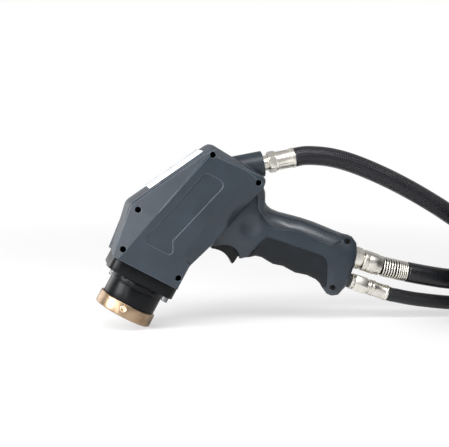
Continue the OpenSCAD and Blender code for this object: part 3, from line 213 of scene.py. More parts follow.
fibre_line = dense([fibre_start, fibre_start + inlet_axis * FIBRE_R] + shifted([
    (60, 175.6), (74, 174.4), (88, 171.6), (102, 167.4), (116, 162.2), (130, 156.3), (144, 149.9), (158, 142.9),
    (172, 135.4), (186, 127.4), (200, 119), (212, 111.3), (224, 104.2), (237, 98), (251, 93.1), (267, 89.7),
    (285, 87.9)], fibre_entry) + [
    (304, fibre_entry - 0.6, fibre_layer), (COIL_X, fibre_entry, fibre_layer)])
cable_line = dense([cable_start] + shifted([
    (148, 54.3), (156, 52.3), (167, 49.9), (178, 47.6), (191, 45.1), (204, 42.8), (217, 41), (230, 39.9),
    (244, 39.6), (258, 40.1), (272, 41.1), (287, 42.4)], cable_entry) + [
    (305, cable_entry - 0.7, cable_layer), (COIL_X, cable_entry, cable_layer)])
air_line = dense([air_start, air_start + handle_axis * AIR_R * 0.8] + shifted([
    (152, 25.4), (163, 22.9), (175, 20.7), (188, 18.8), (201, 17.1), (214, 15.6), (228, 14.1), (243, 12.5),
    (259, 11), (276, 9.7), (291, 9)], air_entry) + [
    (307, air_entry - 0.5, air_layer), (COIL_X, air_entry, air_layer)])
fibre_coil = coil(FIBRE_TURN, FIBRE_MID, fibre_step, fibre_layer)
cable_coil = coil(CABLE_TURN, CABLE_MID, cable_step, cable_layer)
air_coil = coil(AIR_TURN, AIR_MID, air_step, air_layer)
CABLE_SLEEVE = 31

for name, line, wound in (("fibre", fibre_line, fibre_coil), ("cable", cable_line, cable_coil),
                          ("air", air_line, air_coil)):
    print(name, "hose:", round(arc_lengths(line)[-1]), "+", round(arc_lengths(wound)[-1]), "mm")

# %% [markdown]
# ## Hoses as swept tubes
# A bevelled curve would do for a plain hose, but a braid and ribs have to follow the hose, so the tube is laid
# ring by ring along its line. Each ring gets UV coordinates: metres along the hose in one direction, and one turn
# round it in the other. The materials of the hoses read these.

# %% Tube maker


def swept(name, line, radius, sides):
    """A closed tube along line (mm). radius is one number, or a function of the ring's number and its place in mm."""
    p = np.array([tuple(q) for q in line])
    n = len(p)
    d = np.gradient(p, axis=0)
    d /= np.linalg.norm(d, axis=1)[:, None]
    side = np.cross(d, (0.0, 0.0, 1.0))
    side /= np.linalg.norm(side, axis=1)[:, None]
    up = np.cross(side, d)
    s = arc_lengths(line)
    radii = np.array([radius(k, s[k]) if callable(radius) else radius for k in range(n)])
    a = 2 * np.pi * np.arange(sides) / sides
    ring = side[:, None, :] * np.cos(a)[None, :, None] + up[:, None, :] * np.sin(a)[None, :, None]
    points = (p[:, None, :] + ring * radii[:, None, None]).reshape(-1, 3) * MM
    k, i = np.meshgrid(np.arange(n - 1), np.arange(sides), indexing="ij")
    j = (i + 1) % sides
    quads = np.stack([k * sides + i, k * sides + j, (k + 1) * sides + j, (k + 1) * sides + i], -1).reshape(-1, 4)
    uv_quads = np.stack([
        np.stack([s[k], i / sides], -1), np.stack([s[k], (i + 1) / sides], -1),
        np.stack([s[k + 1], (i + 1) / sides], -1), np.stack([s[k + 1], i / sides], -1)], 2).reshape(-1, 2)
    mesh = bpy.data.meshes.new(name)
    faces = [tuple(int(c) for c in q) for q in quads]
    faces.append(tuple(range(sides - 1, -1, -1)))
    faces.append(tuple((n - 1) * sides + c for c in range(sides)))
    mesh.from_pydata([tuple(q) for q in points], [], faces)
    uv = mesh.uv_layers.new(name="along")
    flat = np.zeros((len(mesh.loops), 2))
    flat[:len(uv_quads)] = uv_quads * (MM, 1)
    uv.data.foreach_set("uv", flat.ravel())
    mesh.shade_smooth()
    piece = bpy.data.objects.new(name, mesh)
    bpy.context.scene.collection.objects.link(piece)
    bm = bmesh.new()
    bm.from_mesh(mesh)
    bmesh.ops.recalc_face_normals(bm, faces=bm.faces)
    bm.to_mesh(mesh)
    bm.free()
    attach(piece, "gun")
    print(name, len(mesh.polygons), "faces, volume points outwards")
    return piece


# %% Fibre hose
RING_STEP, FINE_STEP = 3, 0.5
fibre_all = evenly(fibre_line + fibre_coil[1:], RING_STEP)
fibre_hose = swept("fibre_hose", fibre_all, FIBRE_R, 28)
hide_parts("fibre_hose_free", "fibre_hose_coil")

# %% Ribbed cable hose: every second ring stands proud
RIB, RIB_DEEP = 2.6, 0.9
cable_dense = evenly(cable_line + cable_coil[1:], FINE_STEP)
cable_s = arc_lengths(cable_dense)
cable_hose_line = [q for q, d in zip(cable_dense, cable_s) if d >= CABLE_SLEEVE]
cable_ribs = evenly(cable_hose_line, RIB / 2)
cable_hose = swept("cable_hose", cable_ribs, lambda k, d: CABLE_R - (RIB_DEEP if k % 2 else 0), 26)
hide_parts("cable_hose_free", "cable_hose_coil")

# %% Air hose
air_all = evenly(air_line + air_coil[1:], RING_STEP)
air_hose = swept("air_hose", air_all, AIR_R, 24)
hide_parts("air_hose_free", "air_hose_coil")

# %% [markdown]
# ## Copies of the machined pieces
# The CAD nodes are exact but their edges are knife sharp, and a real edge is always broken a little. A copy of
# the mesh is merged, its flat faces are joined, and a small bevel modifier rounds the edges before it is applied.

# %% Copy and bevel helpers
MERGE = 2e-6
FLAT_ANGLE = math.radians(0.4)


def only(piece):
    """Selects one object and nothing else."""
    bpy.ops.object.select_all(action="DESELECT")
    piece.select_set(True)
    bpy.context.view_layer.objects.active = piece


def copied(node, name):
    """A merged copy of a CAD node with its flat faces joined."""
    source = frame["nodes"][node]
    mesh = source.data.copy()
    mesh.materials.clear()
    piece = bpy.data.objects.new(name, mesh)
    bpy.context.scene.collection.objects.link(piece)
    if mesh.has_custom_normals:
        only(piece)
        bpy.ops.mesh.customdata_custom_splitnormals_clear()
    only(piece)
    bpy.ops.object.mode_set(mode="EDIT")
    bpy.ops.mesh.select_all(action="SELECT")
    bpy.ops.mesh.remove_doubles(threshold=MERGE)
    bpy.ops.mesh.dissolve_degenerate(threshold=MERGE)
    bpy.ops.mesh.dissolve_limited(angle_limit=FLAT_ANGLE)
    bpy.ops.object.mode_set(mode="OBJECT")
    return piece


def bevelled(piece, width, angle=32, segments=2, smooth=32):
    """Rounds the edges that turn more than angle, and shades the rest smooth."""
    if width:
        soft = piece.modifiers.new("edge", "BEVEL")
        soft.width = width * MM
        soft.segments = segments
        soft.limit_method = "ANGLE"
        soft.angle_limit = math.radians(angle)
        only(piece)
        bpy.ops.object.modifier_apply(modifier="edge")
    only(piece)
    bpy.ops.object.shade_smooth_by_angle(angle=math.radians(smooth))
    return piece


def weighted(piece):
    """Lets the large faces rule the shading, so that a corner blends into them and not the other way round."""
    by_area = piece.modifiers.new("weighted", "WEIGHTED_NORMAL")
    by_area.mode = "FACE_AREA"
    by_area.weight = 50
    by_area.keep_sharp = True
    only(piece)
    bpy.ops.object.modifier_apply(modifier="weighted")
    return piece


def refined(node, width, angle=32, smooth=32):
    """The finished copy of a CAD node, which it replaces."""
    piece = bevelled(copied(node, node + "_shape"), width, angle, smooth=smooth)
    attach(piece, frame["nodes"][node]["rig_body"])
    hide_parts(node)
    return piece


# %% [markdown]
# ## Materials
# Every finish is a recipe of procedural nodes on object coordinates, so that its grain has a real size in metres
# and lies still on the piece. The helper below keeps the recipes short enough to read.

# %% Recipe helper


def shade(r, g, b):
    """A colour as it is seen on screen, turned to the linear values that the shader works in."""
    line = []
    for c in (r, g, b):
        c /= 255
        line.append(c / 12.92 if c <= 0.04045 else ((c + 0.055) / 1.055) ** 2.4)
    return (*line, 1)


class Recipe:
    """One material's nodes, with short calls for the few kinds used here."""

    def __init__(self, name, color, roughness, metallic=0.0, specular=0.5):
        self.material = bpy.data.materials.new(name)
        self.material.use_nodes = True
        self.tree = self.material.node_tree
        self.shader = self.tree.nodes["Principled BSDF"]
        self.shader.inputs["Base Color"].default_value = color
        self.shader.inputs["Roughness"].default_value = roughness
        self.shader.inputs["Metallic"].default_value = metallic
        self.shader.inputs["Specular IOR Level"].default_value = specular
        self.place = self.tree.nodes.new("ShaderNodeTexCoord").outputs["Object"]

    def node(self, kind, **settings):
        made = self.tree.nodes.new("ShaderNode" + kind)
        for key, value in settings.items():
            setattr(made, key, value)
        return made

    def feed(self, socket, value):
        if isinstance(value, bpy.types.NodeSocket):
            self.tree.links.new(value, socket)
        else:
            socket.default_value = value

    def math(self, operation, a, b=0.0):
        made = self.node("Math", operation=operation)
        for socket, value in zip(made.inputs, (a, b)):
            self.feed(socket, value)
        return made.outputs[0]

    def noise(self, scale, detail=2.0, vector=None):
        made = self.node("TexNoise")
        made.inputs["Scale"].default_value = scale
        made.inputs["Detail"].default_value = detail
        self.feed(made.inputs["Vector"], vector or self.place)
        return made.outputs["Fac"]

    def cells(self, scale, feature="F1"):
        made = self.node("TexVoronoi", feature=feature)
        made.inputs["Scale"].default_value = scale
        self.feed(made.inputs["Vector"], self.place)
        return made.outputs["Distance"]

    def stretched(self, scale=(1, 1, 1), rotation=(0, 0, 0), vector=None):
        made = self.node("Mapping")
        made.inputs["Scale"].default_value = scale
        made.inputs["Rotation"].default_value = rotation
        self.feed(made.inputs["Vector"], vector or self.place)
        return made.outputs[0]

    def spread(self, value, low, high, to_low=0.0, to_high=1.0):
        made = self.node("MapRange")
        self.feed(made.inputs["Value"], value)
        for key, number in (("From Min", low), ("From Max", high), ("To Min", to_low), ("To Max", to_high)):
            made.inputs[key].default_value = number
        return made.outputs[0]

    def mixed(self, factor, a, b):
        made = self.node("Mix", data_type="RGBA")
        self.feed(made.inputs[0], factor)
        self.feed(made.inputs[6], a)
        self.feed(made.inputs[7], b)
        return made.outputs[2]

    def bump(self, height, distance, strength=1.0, under=None):
        made = self.node("Bump")
        made.inputs["Strength"].default_value = strength
        made.inputs["Distance"].default_value = distance * MM
        self.feed(made.inputs["Height"], height)
        if under is not None:
            self.feed(made.inputs["Normal"], under)
        return made.outputs[0]

    def rounded(self, radius):
        """A normal that is softened over sharp edges; radius in mm, or a socket that gives it in metres."""
        made = self.node("Bevel", samples=6)
        self.feed(made.inputs["Radius"], radius if isinstance(radius, bpy.types.NodeSocket) else radius * MM)
        return made.outputs[0]

    def edge_wear_and_shading(self, radius, low, high):
        """1 at an edge, 0 on flat ground: a mask for edge wear, and for painted highlight and painted shade along
        edges.
        """
        soft = self.node("Bevel", samples=4)
        soft.inputs["Radius"].default_value = radius * MM
        flat = self.node("NewGeometry")
        dot = self.node("VectorMath", operation="DOT_PRODUCT")
        self.feed(dot.inputs[0], soft.outputs[0])
        self.feed(dot.inputs[1], flat.outputs["Normal"])
        return self.spread(dot.outputs["Value"], high, low)

    def finish(self, color=None, roughness=None, normal=None):
        for key, value in (("Base Color", color), ("Roughness", roughness), ("Normal", normal)):
            if value is not None:
                self.feed(self.shader.inputs[key], value)
        print("material", self.material.name)
        return self.material

    def mottled(self, grain, one, other, smooth, rough, height, strength):
        """The usual finish: one grain shifts the colour and the roughness a little and gives a fine relief."""
        return self.finish(self.mixed(self.spread(grain, 0.3, 0.7), one, other),
                           self.spread(grain, 0.3, 0.7, smooth, rough), self.bump(grain, height, strength))


def paint(piece, material):
    """Gives a piece one material."""
    piece.data.materials.clear()
    piece.data.materials.append(material)


def paint_node(node, material):
    """Gives a CAD node that stays another material."""
    for place in frame["nodes"][node].material_slots:
        place.material = material


# %% [markdown]
# ### Moulded housing
# Blue-grey glass-filled nylon out of an eroded mould: satin, with a fine grain of about a third of a millimetre
# and a slow cloudiness. Edges are a little smoother, and painted paler as a painted highlight. The rounding of
# edges is wide round the soft hollow in the neck, and narrow at the facets of the head.

# %% Housing
SCOOP_AT = on_handle(GRIP_LONG * 0.11, -GRIP_BACK * 0.2) * MM
SOFT_WITHIN, CRISP_BEYOND = 0.024, 0.044
SOFT_R, CRISP_R = 8 * MM, 1.2 * MM
housing = Recipe("moulded_housing", shade(28, 38, 48), 0.38)
grain = housing.cells(2600)
cloud = housing.noise(38, 4)
speck = housing.noise(900, 3)
edge = housing.edge_wear_and_shading(0.9, 0.9, 0.998)
tone = housing.mixed(housing.spread(cloud, 0.3, 0.7), shade(25, 35, 44), shade(31, 41, 51))
tone = housing.mixed(housing.math("MULTIPLY", housing.spread(speck, 0.45, 0.75), 0.1), tone, shade(66, 76, 87))
# Painted highlight: the edges are mixed towards a pale blue-grey.
tone = housing.mixed(housing.math("MULTIPLY", edge, 0.6), tone, shade(104, 114, 126))
across = housing.node("SeparateXYZ")
housing.feed(across.inputs[0], housing.place)
away = housing.math("SQRT", housing.math(
    "ADD", housing.math("POWER", housing.math("SUBTRACT", across.outputs[0], SCOOP_AT.x), 2.0),
    housing.math("POWER", housing.math("SUBTRACT", across.outputs[2], SCOOP_AT.z), 2.0)))
round_by = housing.spread(away, SOFT_WITHIN, CRISP_BEYOND, SOFT_R, CRISP_R)
housing.finish(
    tone,
    housing.math("SUBTRACT", housing.spread(cloud, 0.3, 0.7, 0.36, 0.46), housing.math("MULTIPLY", edge, 0.1)),
    housing.bump(grain, 0.06, 0.35, housing.rounded(round_by)))

# %% [markdown]
# ### Rubber and backstrap
# The grip is soft black-grey rubber with a fine matt tooth. The backstrap is harder, satin and as blue as the
# housing, and its rim is painted dark as painted shade in the gap where it dives into its pocket.

# %% Rubber and satin plastic
rubber = Recipe("grip_rubber", shade(58, 61, 66), 0.62, specular=0.25)
tooth = rubber.cells(1500)
dust = rubber.noise(55, 5)
tone = rubber.mixed(rubber.spread(dust, 0.35, 0.7), shade(14, 18, 22), shade(23, 27, 32))
rubber.finish(tone, rubber.spread(dust, 0.3, 0.7, 0.56, 0.7), rubber.bump(tooth, 0.08, 0.5, rubber.rounded(0.5)))

satin = Recipe("satin_backstrap", shade(74, 80, 88), 0.34, specular=0.9)
fine = satin.noise(1400, 3)
cloud = satin.noise(45, 4)
tone = satin.mixed(satin.spread(cloud, 0.3, 0.7), shade(28, 37, 46), shade(35, 44, 54))
# Painted shade: the rim is mixed towards near black, the shade in the gap round the backstrap.
tone = satin.mixed(satin.edge_wear_and_shading(1.0, 0.86, 0.97), tone, shade(8, 10, 12))
satin.finish(tone, satin.spread(cloud, 0.3, 0.7, 0.25, 0.31), satin.bump(fine, 0.01, 0.4, satin.rounded(2.5)))

# %% [markdown]
# ### Black anodised metal
# Anodised aluminium: the turned or milled surface shows through the black skin as fine lines, and its edges are
# rubbed to a paler grey.

# %% Anodised metal
anodised = Recipe("black_anodised", shade(36, 37, 41), 0.36, 0.35, specular=0.2)
lines = anodised.noise(260, 3, anodised.stretched((0.02, 0.02, 1)))
stain = anodised.noise(60, 4)
edge = anodised.edge_wear_and_shading(0.35, 0.88, 0.998)
tone = anodised.mixed(anodised.spread(stain, 0.3, 0.75), shade(8, 9, 11), shade(14, 15, 18))
tone = anodised.mixed(anodised.math("MULTIPLY", edge, 0.5), tone, shade(84, 85, 90))
anodised.finish(tone, anodised.spread(lines, 0.3, 0.7, 0.26, 0.32),
                anodised.bump(lines, 0.002, 0.3, anodised.rounded(0.3)))

# %% [markdown]
# ### Brass, nickel and steel
# Brass is turned on a lathe, so its lines run round the beam axis: the object coordinates are turned upright
# along the beam and stretched. Polished brass is for the bushes of the spanner holes. Nickel plate is smooth and
# bright with a faint warm tone, steel is cooler, and the shell screws are blackened.

# %% Turned and polished brass
brass = Recipe("turned_brass", shade(214, 186, 132), 0.2, 1.0)
along_beam = brass.stretched(rotation=(0, -LEAN, 0))
turning = brass.noise(2400, 2, brass.stretched((0.02, 0.02, 1), vector=along_beam))
tarnish = brass.noise(70, 5)
tone = brass.mixed(brass.spread(tarnish, 0.4, 0.72), shade(160, 139, 115), shade(132, 109, 88))
brass.finish(tone, brass.spread(tarnish, 0.35, 0.7, 0.27, 0.35), brass.bump(turning, 0.006, 0.5))

polished = Recipe("polished_brass", shade(250, 230, 196), 0.2, 1.0)
polished.mottled(polished.noise(300, 3), shade(252, 232, 198), shade(236, 208, 168), 0.16, 0.26, 0.004, 0.5)

# %% Nickel plate and steel
nickel = Recipe("nickel_plate", shade(196, 194, 186), 0.22, 1.0)
smudge = nickel.noise(120, 4)
scuff = nickel.noise(700, 2, nickel.stretched((1, 0.1, 0.3)))
nickel.finish(
    nickel.mixed(nickel.spread(smudge, 0.35, 0.7), shade(224, 221, 213), shade(212, 208, 200)),
    nickel.spread(smudge, 0.3, 0.7, 0.24, 0.34), nickel.bump(scuff, 0.002, 0.5))
steel = Recipe("bright_steel", shade(190, 192, 194), 0.28, 1.0)
grind = steel.noise(600, 3, steel.stretched((1, 0.06, 1)))
steel.mottled(grind, shade(98, 99, 101), shade(128, 129, 131), 0.34, 0.44, 0.006, 0.6)
dark_steel = Recipe("dark_steel", shade(70, 70, 72), 0.4, 0.7)
dark_steel.mottled(dark_steel.noise(500, 4), shade(60, 60, 62), shade(86, 86, 88), 0.32, 0.5, 0.01, 0.5)
black_oxide = Recipe("black_oxide", shade(6, 6, 7), 0.5, specular=0.2)
black_oxide.mottled(black_oxide.noise(700, 3), shade(3, 3, 4), shade(9, 9, 10), 0.38, 0.55, 0.008, 0.5)
frame_metal = Recipe("milled_frame", shade(168, 171, 176), 0.34, 0.9)
mill = frame_metal.noise(700, 2, frame_metal.stretched((0.1, 1, 1)))
frame_metal.mottled(mill, shade(156, 159, 164), shade(182, 184, 188), 0.28, 0.42, 0.01, 0.6)

# %% [markdown]
# ### Black plastics
# The trigger is glossy black plastic. Small inner parts share a plain black moulding.

# %% Trigger plastic, small mouldings
trigger_black = Recipe("trigger_plastic", shade(27, 29, 33), 0.3, specular=0.25)
skin = trigger_black.noise(1200, 3)
worn = trigger_black.edge_wear_and_shading(0.5, 0.9, 0.998)
tone = trigger_black.mixed(trigger_black.spread(skin, 0.3, 0.7), shade(6, 8, 10), shade(11, 13, 16))
tone = trigger_black.mixed(trigger_black.math("MULTIPLY", worn, 0.35), tone, shade(60, 64, 70))
trigger_black.finish(tone, trigger_black.spread(skin, 0.3, 0.7, 0.24, 0.36),
                     trigger_black.bump(skin, 0.015, 0.5, trigger_black.rounded(0.4)))
moulded_black = Recipe("moulded_black", shade(34, 34, 37), 0.45)
moulded_black.mottled(moulded_black.noise(900, 3), shade(28, 28, 31), shade(42, 42, 45), 0.38, 0.52, 0.02, 0.5)

# %% [markdown]
# ### Hose skins
# The fibre hose wears a braid of thin strands that cross at a steep slant, half over and half under. Its pattern
# is computed from the UV map: two sets of slanting waves, and a checker that says which set lies on top. The
# crests of the strands are painted paler as painted highlight and the gaps darker as painted shade, and paler
# streaks along the hose are painted highlights.

# %% Braided skin
STREAKS_ALONG, STREAKS_ROUND, STREAK_HEIGHT = 9.0, 4.5, 0.9
PALE_HEIGHT = 1.5
HAZE = 0.3


def braid(name, dark, light, per_turn, per_metre, height, roughness):
    """A braid of per_turn strands round the hose, crossed per_metre times along it."""
    made = Recipe(name, light, roughness, specular=0.4)
    uv = made.node("UVMap", uv_map="along")
    parts = made.node("SeparateXYZ")
    made.feed(parts.inputs[0], uv.outputs[0])
    along = made.math("MULTIPLY", parts.outputs[0], per_metre)
    round_it = made.math("MULTIPLY", parts.outputs[1], per_turn)
    left = made.math("ADD", along, round_it)
    right = made.math("SUBTRACT", along, round_it)
    ridges = [made.math("ABSOLUTE", made.math("SINE", made.math("MULTIPLY", path, math.pi)))
              for path in (left, right)]
    parity = made.math("MODULO", made.math("ADD", made.math("FLOOR", left), made.math("FLOOR", right)), 2.0)
    top = made.math("ABSOLUTE", parity)
    over = made.math("MULTIPLY", ridges[0], top)
    under = made.math("MULTIPLY", ridges[1], made.math("SUBTRACT", 1.0, top))
    relief = made.math("ADD", over, under)
    haze = made.noise(60, 4)
    around = made.math("MULTIPLY", parts.outputs[1], 2 * math.pi)
    rope = made.node("CombineXYZ")
    made.feed(rope.inputs[0], made.math("MULTIPLY", parts.outputs[0], STREAKS_ALONG))
    made.feed(rope.inputs[1], made.math("MULTIPLY", made.math("COSINE", around), STREAKS_ROUND))
    made.feed(rope.inputs[2], made.math("MULTIPLY", made.math("SINE", around), STREAKS_ROUND))
    # Streaks along the hose: relief, roughness and a paler colour; the paler colour is a painted highlight.
    streak = made.spread(made.noise(1.0, 2, rope.outputs[0]), 0.42, 0.62)
    relief = made.math("ADD", relief, made.math("MULTIPLY", streak, STREAK_HEIGHT))
    # Painted highlight and painted shade: the colour follows the relief, paler on crests and streaks, darker in gaps.
    tone = made.mixed(made.spread(relief, 0.0, PALE_HEIGHT), dark, light)
    tone = made.mixed(made.math("MULTIPLY", made.spread(haze, 0.35, 0.75), HAZE), tone, dark)
    return made.finish(tone, made.spread(relief, 0.0, 1.0, roughness + 0.2, roughness),
                       made.bump(relief, height, 0.8))


fibre_skin = braid("braided_sleeve", shade(1, 1, 3), shade(27, 27, 35), 26, 420, 0.2, 0.16)
paint(fibre_hose, fibre_skin)
air_skin = braid("woven_hose", shade(6, 6, 8), shade(24, 25, 29), 40, 900, 0.16, 0.28)
paint(air_hose, air_skin)

# %% Ribbed skin
ribbed = Recipe("ribbed_sheath", shade(34, 35, 40), 0.3)
skin = ribbed.noise(600, 3)
dust = ribbed.noise(50, 4)
tone = ribbed.mixed(ribbed.spread(dust, 0.35, 0.7), shade(16, 17, 20), shade(26, 27, 31))
ribbed.finish(tone, ribbed.spread(skin, 0.3, 0.7, 0.24, 0.36), ribbed.bump(skin, 0.02, 0.5))
paint(cable_hose, ribbed.material)

# %% [markdown]
# ## Glass, mirror and board
# These sit inside, and show only through the window or when the part is opened, but each still has its finish.

# %% Glass, mirror, seal
glass = Recipe("coated_glass", shade(236, 244, 246), 0.04)
glass.shader.inputs["Transmission Weight"].default_value = 1.0
glass.shader.inputs["IOR"].default_value = 1.46
smear = glass.noise(90, 4)
glass.finish(glass.mixed(glass.spread(smear, 0.4, 0.8), shade(240, 247, 248), shade(226, 238, 242)),
             glass.spread(smear, 0.4, 0.8, 0.02, 0.07))
mirror = Recipe("gold_mirror", shade(232, 196, 118), 0.05, 1.0)
smear = mirror.noise(200, 3)
mirror.finish(mirror.mixed(mirror.spread(smear, 0.4, 0.8), shade(236, 200, 122), shade(222, 184, 108)),
              mirror.spread(smear, 0.4, 0.8, 0.03, 0.09))
seal = Recipe("window_seal", shade(150, 48, 34), 0.5)
seal.mottled(seal.noise(800, 3), shade(142, 44, 30), shade(160, 56, 40), 0.44, 0.58, 0.02, 0.4)
board = Recipe("circuit_board", shade(34, 86, 52), 0.35)
trace = board.cells(420, "DISTANCE_TO_EDGE")
board.finish(board.mixed(board.spread(trace, 0.02, 0.06), shade(58, 118, 74), shade(26, 76, 46)),
             board.spread(trace, 0.02, 0.08, 0.25, 0.4), board.bump(trace, 0.03, 0.5))

# %% [markdown]
# ## The housing shells
# The two shells keep their CAD shape. Their copies are merged so that rounded corners shade smoothly, while the
# creases of the facets stay crisp.

# %% Shells
CREASE_SHARES = (0.74, 0.79, 0.9, 0.92, 0.93, 0.94, 0.95, 1)
CREASE_SLACK, CREASE_ANGLE = 0.04 * MM, math.radians(2.5)
SCOOP_REACH, SCOOP_SKIN, SCOOP_ANGLE = 0.033, 0.012, math.radians(70)


def on_crease(vertex):
    """True where a vertex lies on one of the outlines that the facets meet at."""
    return any(abs(abs(vertex.co.y) - share * HEAD_HALF * MM) < CREASE_SLACK for share in CREASE_SHARES)


def in_scoop(vertex):
    """True for the soft hollow in the neck."""
    away = vertex.co - SCOOP_AT
    return math.hypot(away.x, away.z) < SCOOP_REACH and abs(vertex.co.y) > SCOOP_SKIN


def creased(piece):
    """Keeps the facets of the head apart by sharp edges along their outlines, and softens the neck's hollow."""
    bm = bmesh.new()
    bm.from_mesh(piece.data)
    marked = 0
    for edge in bm.edges:
        if len(edge.link_faces) != 2:
            continue
        turn = edge.calc_face_angle(0)
        if turn > CREASE_ANGLE and all(map(on_crease, edge.verts)):
            edge.smooth = False
            marked += 1
        elif turn < SCOOP_ANGLE and all(map(in_scoop, edge.verts)):
            edge.smooth = True
    bm.to_mesh(piece.data)
    bm.free()
    return marked


for side in ("left", "right"):
    shell = refined(side + "_shell", 0, smooth=24)
    print(shell.name, len(shell.data.polygons), "faces,", creased(shell), "crease edges")
    weighted(shell)
    paint(shell, housing.material)

# %% Grip, backstrap, trigger
for node, width, slot, material in (
        ("grip_rubber", 0.4, "grip_rubber", rubber.material),
        ("backstrap", 0.8, "backstrap", satin.material),
        ("trigger", 0.5, "trigger", trigger_black.material)):
    piece = refined(node, width, smooth=40, angle=45)
    weighted(piece)
    paint(piece, material)
    print(node, len(piece.data.polygons), "faces")

# %% Nose and fittings
for node, width, slot, material in (
        ("lens_flange", 0.5, "black_metal", anodised.material),
        ("lens_barrel", 0.25, "black_metal", anodised.material),
        ("window_ring", 0.2, "window_ring", brass.material),
        ("flange_screws", 0.2, "bright_screws", steel.material),
        ("shell_screws", 0.15, "black_screws", black_oxide.material),
        ("fibre_inlet", 0.25, "nickel", nickel.material),
        ("fibre_nut", 0.35, "nickel", nickel.material),
        ("fibre_ferrule", 0.2, "nickel", nickel.material),
        ("cable_nut", 0.35, "nickel", nickel.material),
        ("air_nipple", 0.1, "dark_steel", dark_steel.material),
        ("air_locknut", 0.3, "nickel", nickel.material),
        ("fibre_plug", 0.5, "nickel", nickel.material),
        ("cable_plug", 0.5, "nickel", nickel.material),
        ("air_plug", 0.4, "nickel", nickel.material)):
    piece = refined(node, width)
    paint(piece, material)
    print(node, len(piece.data.polygons), "faces")

# %% [markdown]
# ## Return spring of the trigger
# Wound from spring wire. It stands between the trigger and the switch bracket, so it is squeezed as the trigger
# comes in: the outer edge of its seat, 26.5 mm from the trigger's pin, rises by that arm times the tangent of
# the pull. Here its CAD shape is copied and gets a finish and a mesh of its own; nothing squeezes it.

# %% Return spring
return_spring = refined("trigger_spring", 0)
paint(return_spring, steel.material)
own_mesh(return_spring)

# %% [markdown]
# ## What each hose really is
# The hoses are flexible cords, each swept above along its whole path from its fitting to the end of its coil.

# %% [markdown]
# ## CAD nodes that stay
# The pieces inside keep their CAD meshes and only get a finish.

# %% Finishes of the inner pieces
for material, nodes in (
        (frame_metal.material, ("optics_frame", "switch_bracket", "board_spacers")),
        (steel.material, ("frame_screws", "scanner_shaft", "trigger_pin")),
        (moulded_black.material, ("lens_spacer", "lens_retainer", "collimator_tube", "galvo_motor",
                                  "mirror_mount", "board_parts", "trigger_switch")),
        (brass.material, ("thread_inserts",)),
        (glass.material, ("focus_lens_upper", "focus_lens_lower", "protective_window", "collimator_lens")),
        (seal.material, ("window_seal", "switch_plunger")),
        (mirror.material, ("swing_mirror",)),
        (board.material, ("driver_board",))):
    for node in nodes:
        paint_node(node, material)
    print(material.name, "on", ", ".join(nodes))

# %% [markdown]
# ## Fittings on the end of the handle
# Both are turned and milled from nickel-plated brass bar on a lathe, so each is drawn the same way: a disc of the
# bar's outline is extruded step by step along the axis and resized at each step, as the tool would cut it.
# The cable's fitting is a stout sleeve with a groove. The air fitting has a hexagon for the spanner, a neck, and
# a crimped sleeve with raised rims.

# %% Lathe helper
HANDLE_TURN = Matrix.Rotation(math.pi / 2 - (GRIP_TILT - LEAN), 4, "Y")


def turned(name, rows, sides, start, turn, spin=0.0, edge=0.25):
    """A closed lathe piece through rows of (place along the axis, radius) in mm.

    The axis starts at the point start, in mm, and the matrix turn brings it from upright to its direction.
    """
    bpy.ops.object.select_all(action="DESELECT")
    bpy.ops.mesh.primitive_circle_add(vertices=sides, radius=rows[0][1] * MM, fill_type="NGON",
                                      location=(0, 0, 0), rotation=(0, 0, 0))
    piece = bpy.context.view_layer.objects.active
    piece.name = name
    bpy.ops.object.mode_set(mode="EDIT")
    bpy.ops.mesh.select_all(action="SELECT")
    for (a, r), (b, q) in zip(rows, rows[1:]):
        bpy.ops.mesh.extrude_region_move(TRANSFORM_OT_translate={"value": (0, 0, (b - a) * MM)})
        if abs(q - r) > 1e-6:
            bpy.ops.transform.resize(value=(q / r, q / r, 1))
    bpy.ops.mesh.select_all(action="SELECT")
    bpy.ops.mesh.normals_make_consistent(inside=False)
    bpy.ops.object.mode_set(mode="OBJECT")
    piece.data.transform(Matrix.Translation(start * MM) @ turn
                         @ Matrix.Translation((0, 0, rows[0][0] * MM)) @ Matrix.Rotation(spin, 4, "Z"))
    return bevelled(piece, edge)


def fitted(piece, slot, material, *nodes):
    """Lets a drawn piece ride on the gun in place of its CAD nodes."""
    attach(piece, "gun")
    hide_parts(*nodes)
    paint(piece, material)
    print(piece.name, len(piece.data.polygons), "faces")
    return piece


# %% Sleeve of the cable's fitting
cable_ferrule = turned("cable_ferrule_shape", [
    (141, 8.6), (141.7, 8.6), (141.9, 10.6), (142.8, 11.3), (147.2, 11.3), (147.2, 10.8), (148, 10.8),
    (148, 11.3), (157.5, 11.3), (158.6, 10.7), (162.95, 10.7)], 64, on_handle(0, CABLE_OFF), HANDLE_TURN)
fitted(cable_ferrule, "nickel", nickel.material, "cable_ferrule")

# %% Body and crimp of the air fitting
air_body = turned("air_body_shape", [
    (140.6, 7.9), (141.3, 9.5), (155.6, 9.5), (156.4, 8.2)], 6, on_handle(0, AIR_OFF), HANDLE_TURN,
    spin=math.radians(4), edge=0.6)
fitted(air_body, "nickel", nickel.material, "air_body")
air_ferrule = turned("air_ferrule_shape", [
    (156.4, 6.9), (158.4, 6.9), (158.4, 8.3), (160.6, 8.3), (160.6, 7.4), (162.2, 7.4), (162.2, 8.5), (164, 8.5),
    (164.4, 7.8), (177.6, 7.8), (178, 8.4), (180.4, 8.4)], 48, on_handle(0, AIR_OFF), HANDLE_TURN)
fitted(air_ferrule, "nickel", nickel.material, "air_ferrule")

# %% [markdown]
# ## Bushes of the spanner holes
# The spanner hole of the window ring that the photograph shows has a bright round rim, and the one opposite is
# taken to be like it. Each gets a small turned brass bush with a rounded lip and a blind hole, pressed into the ring.

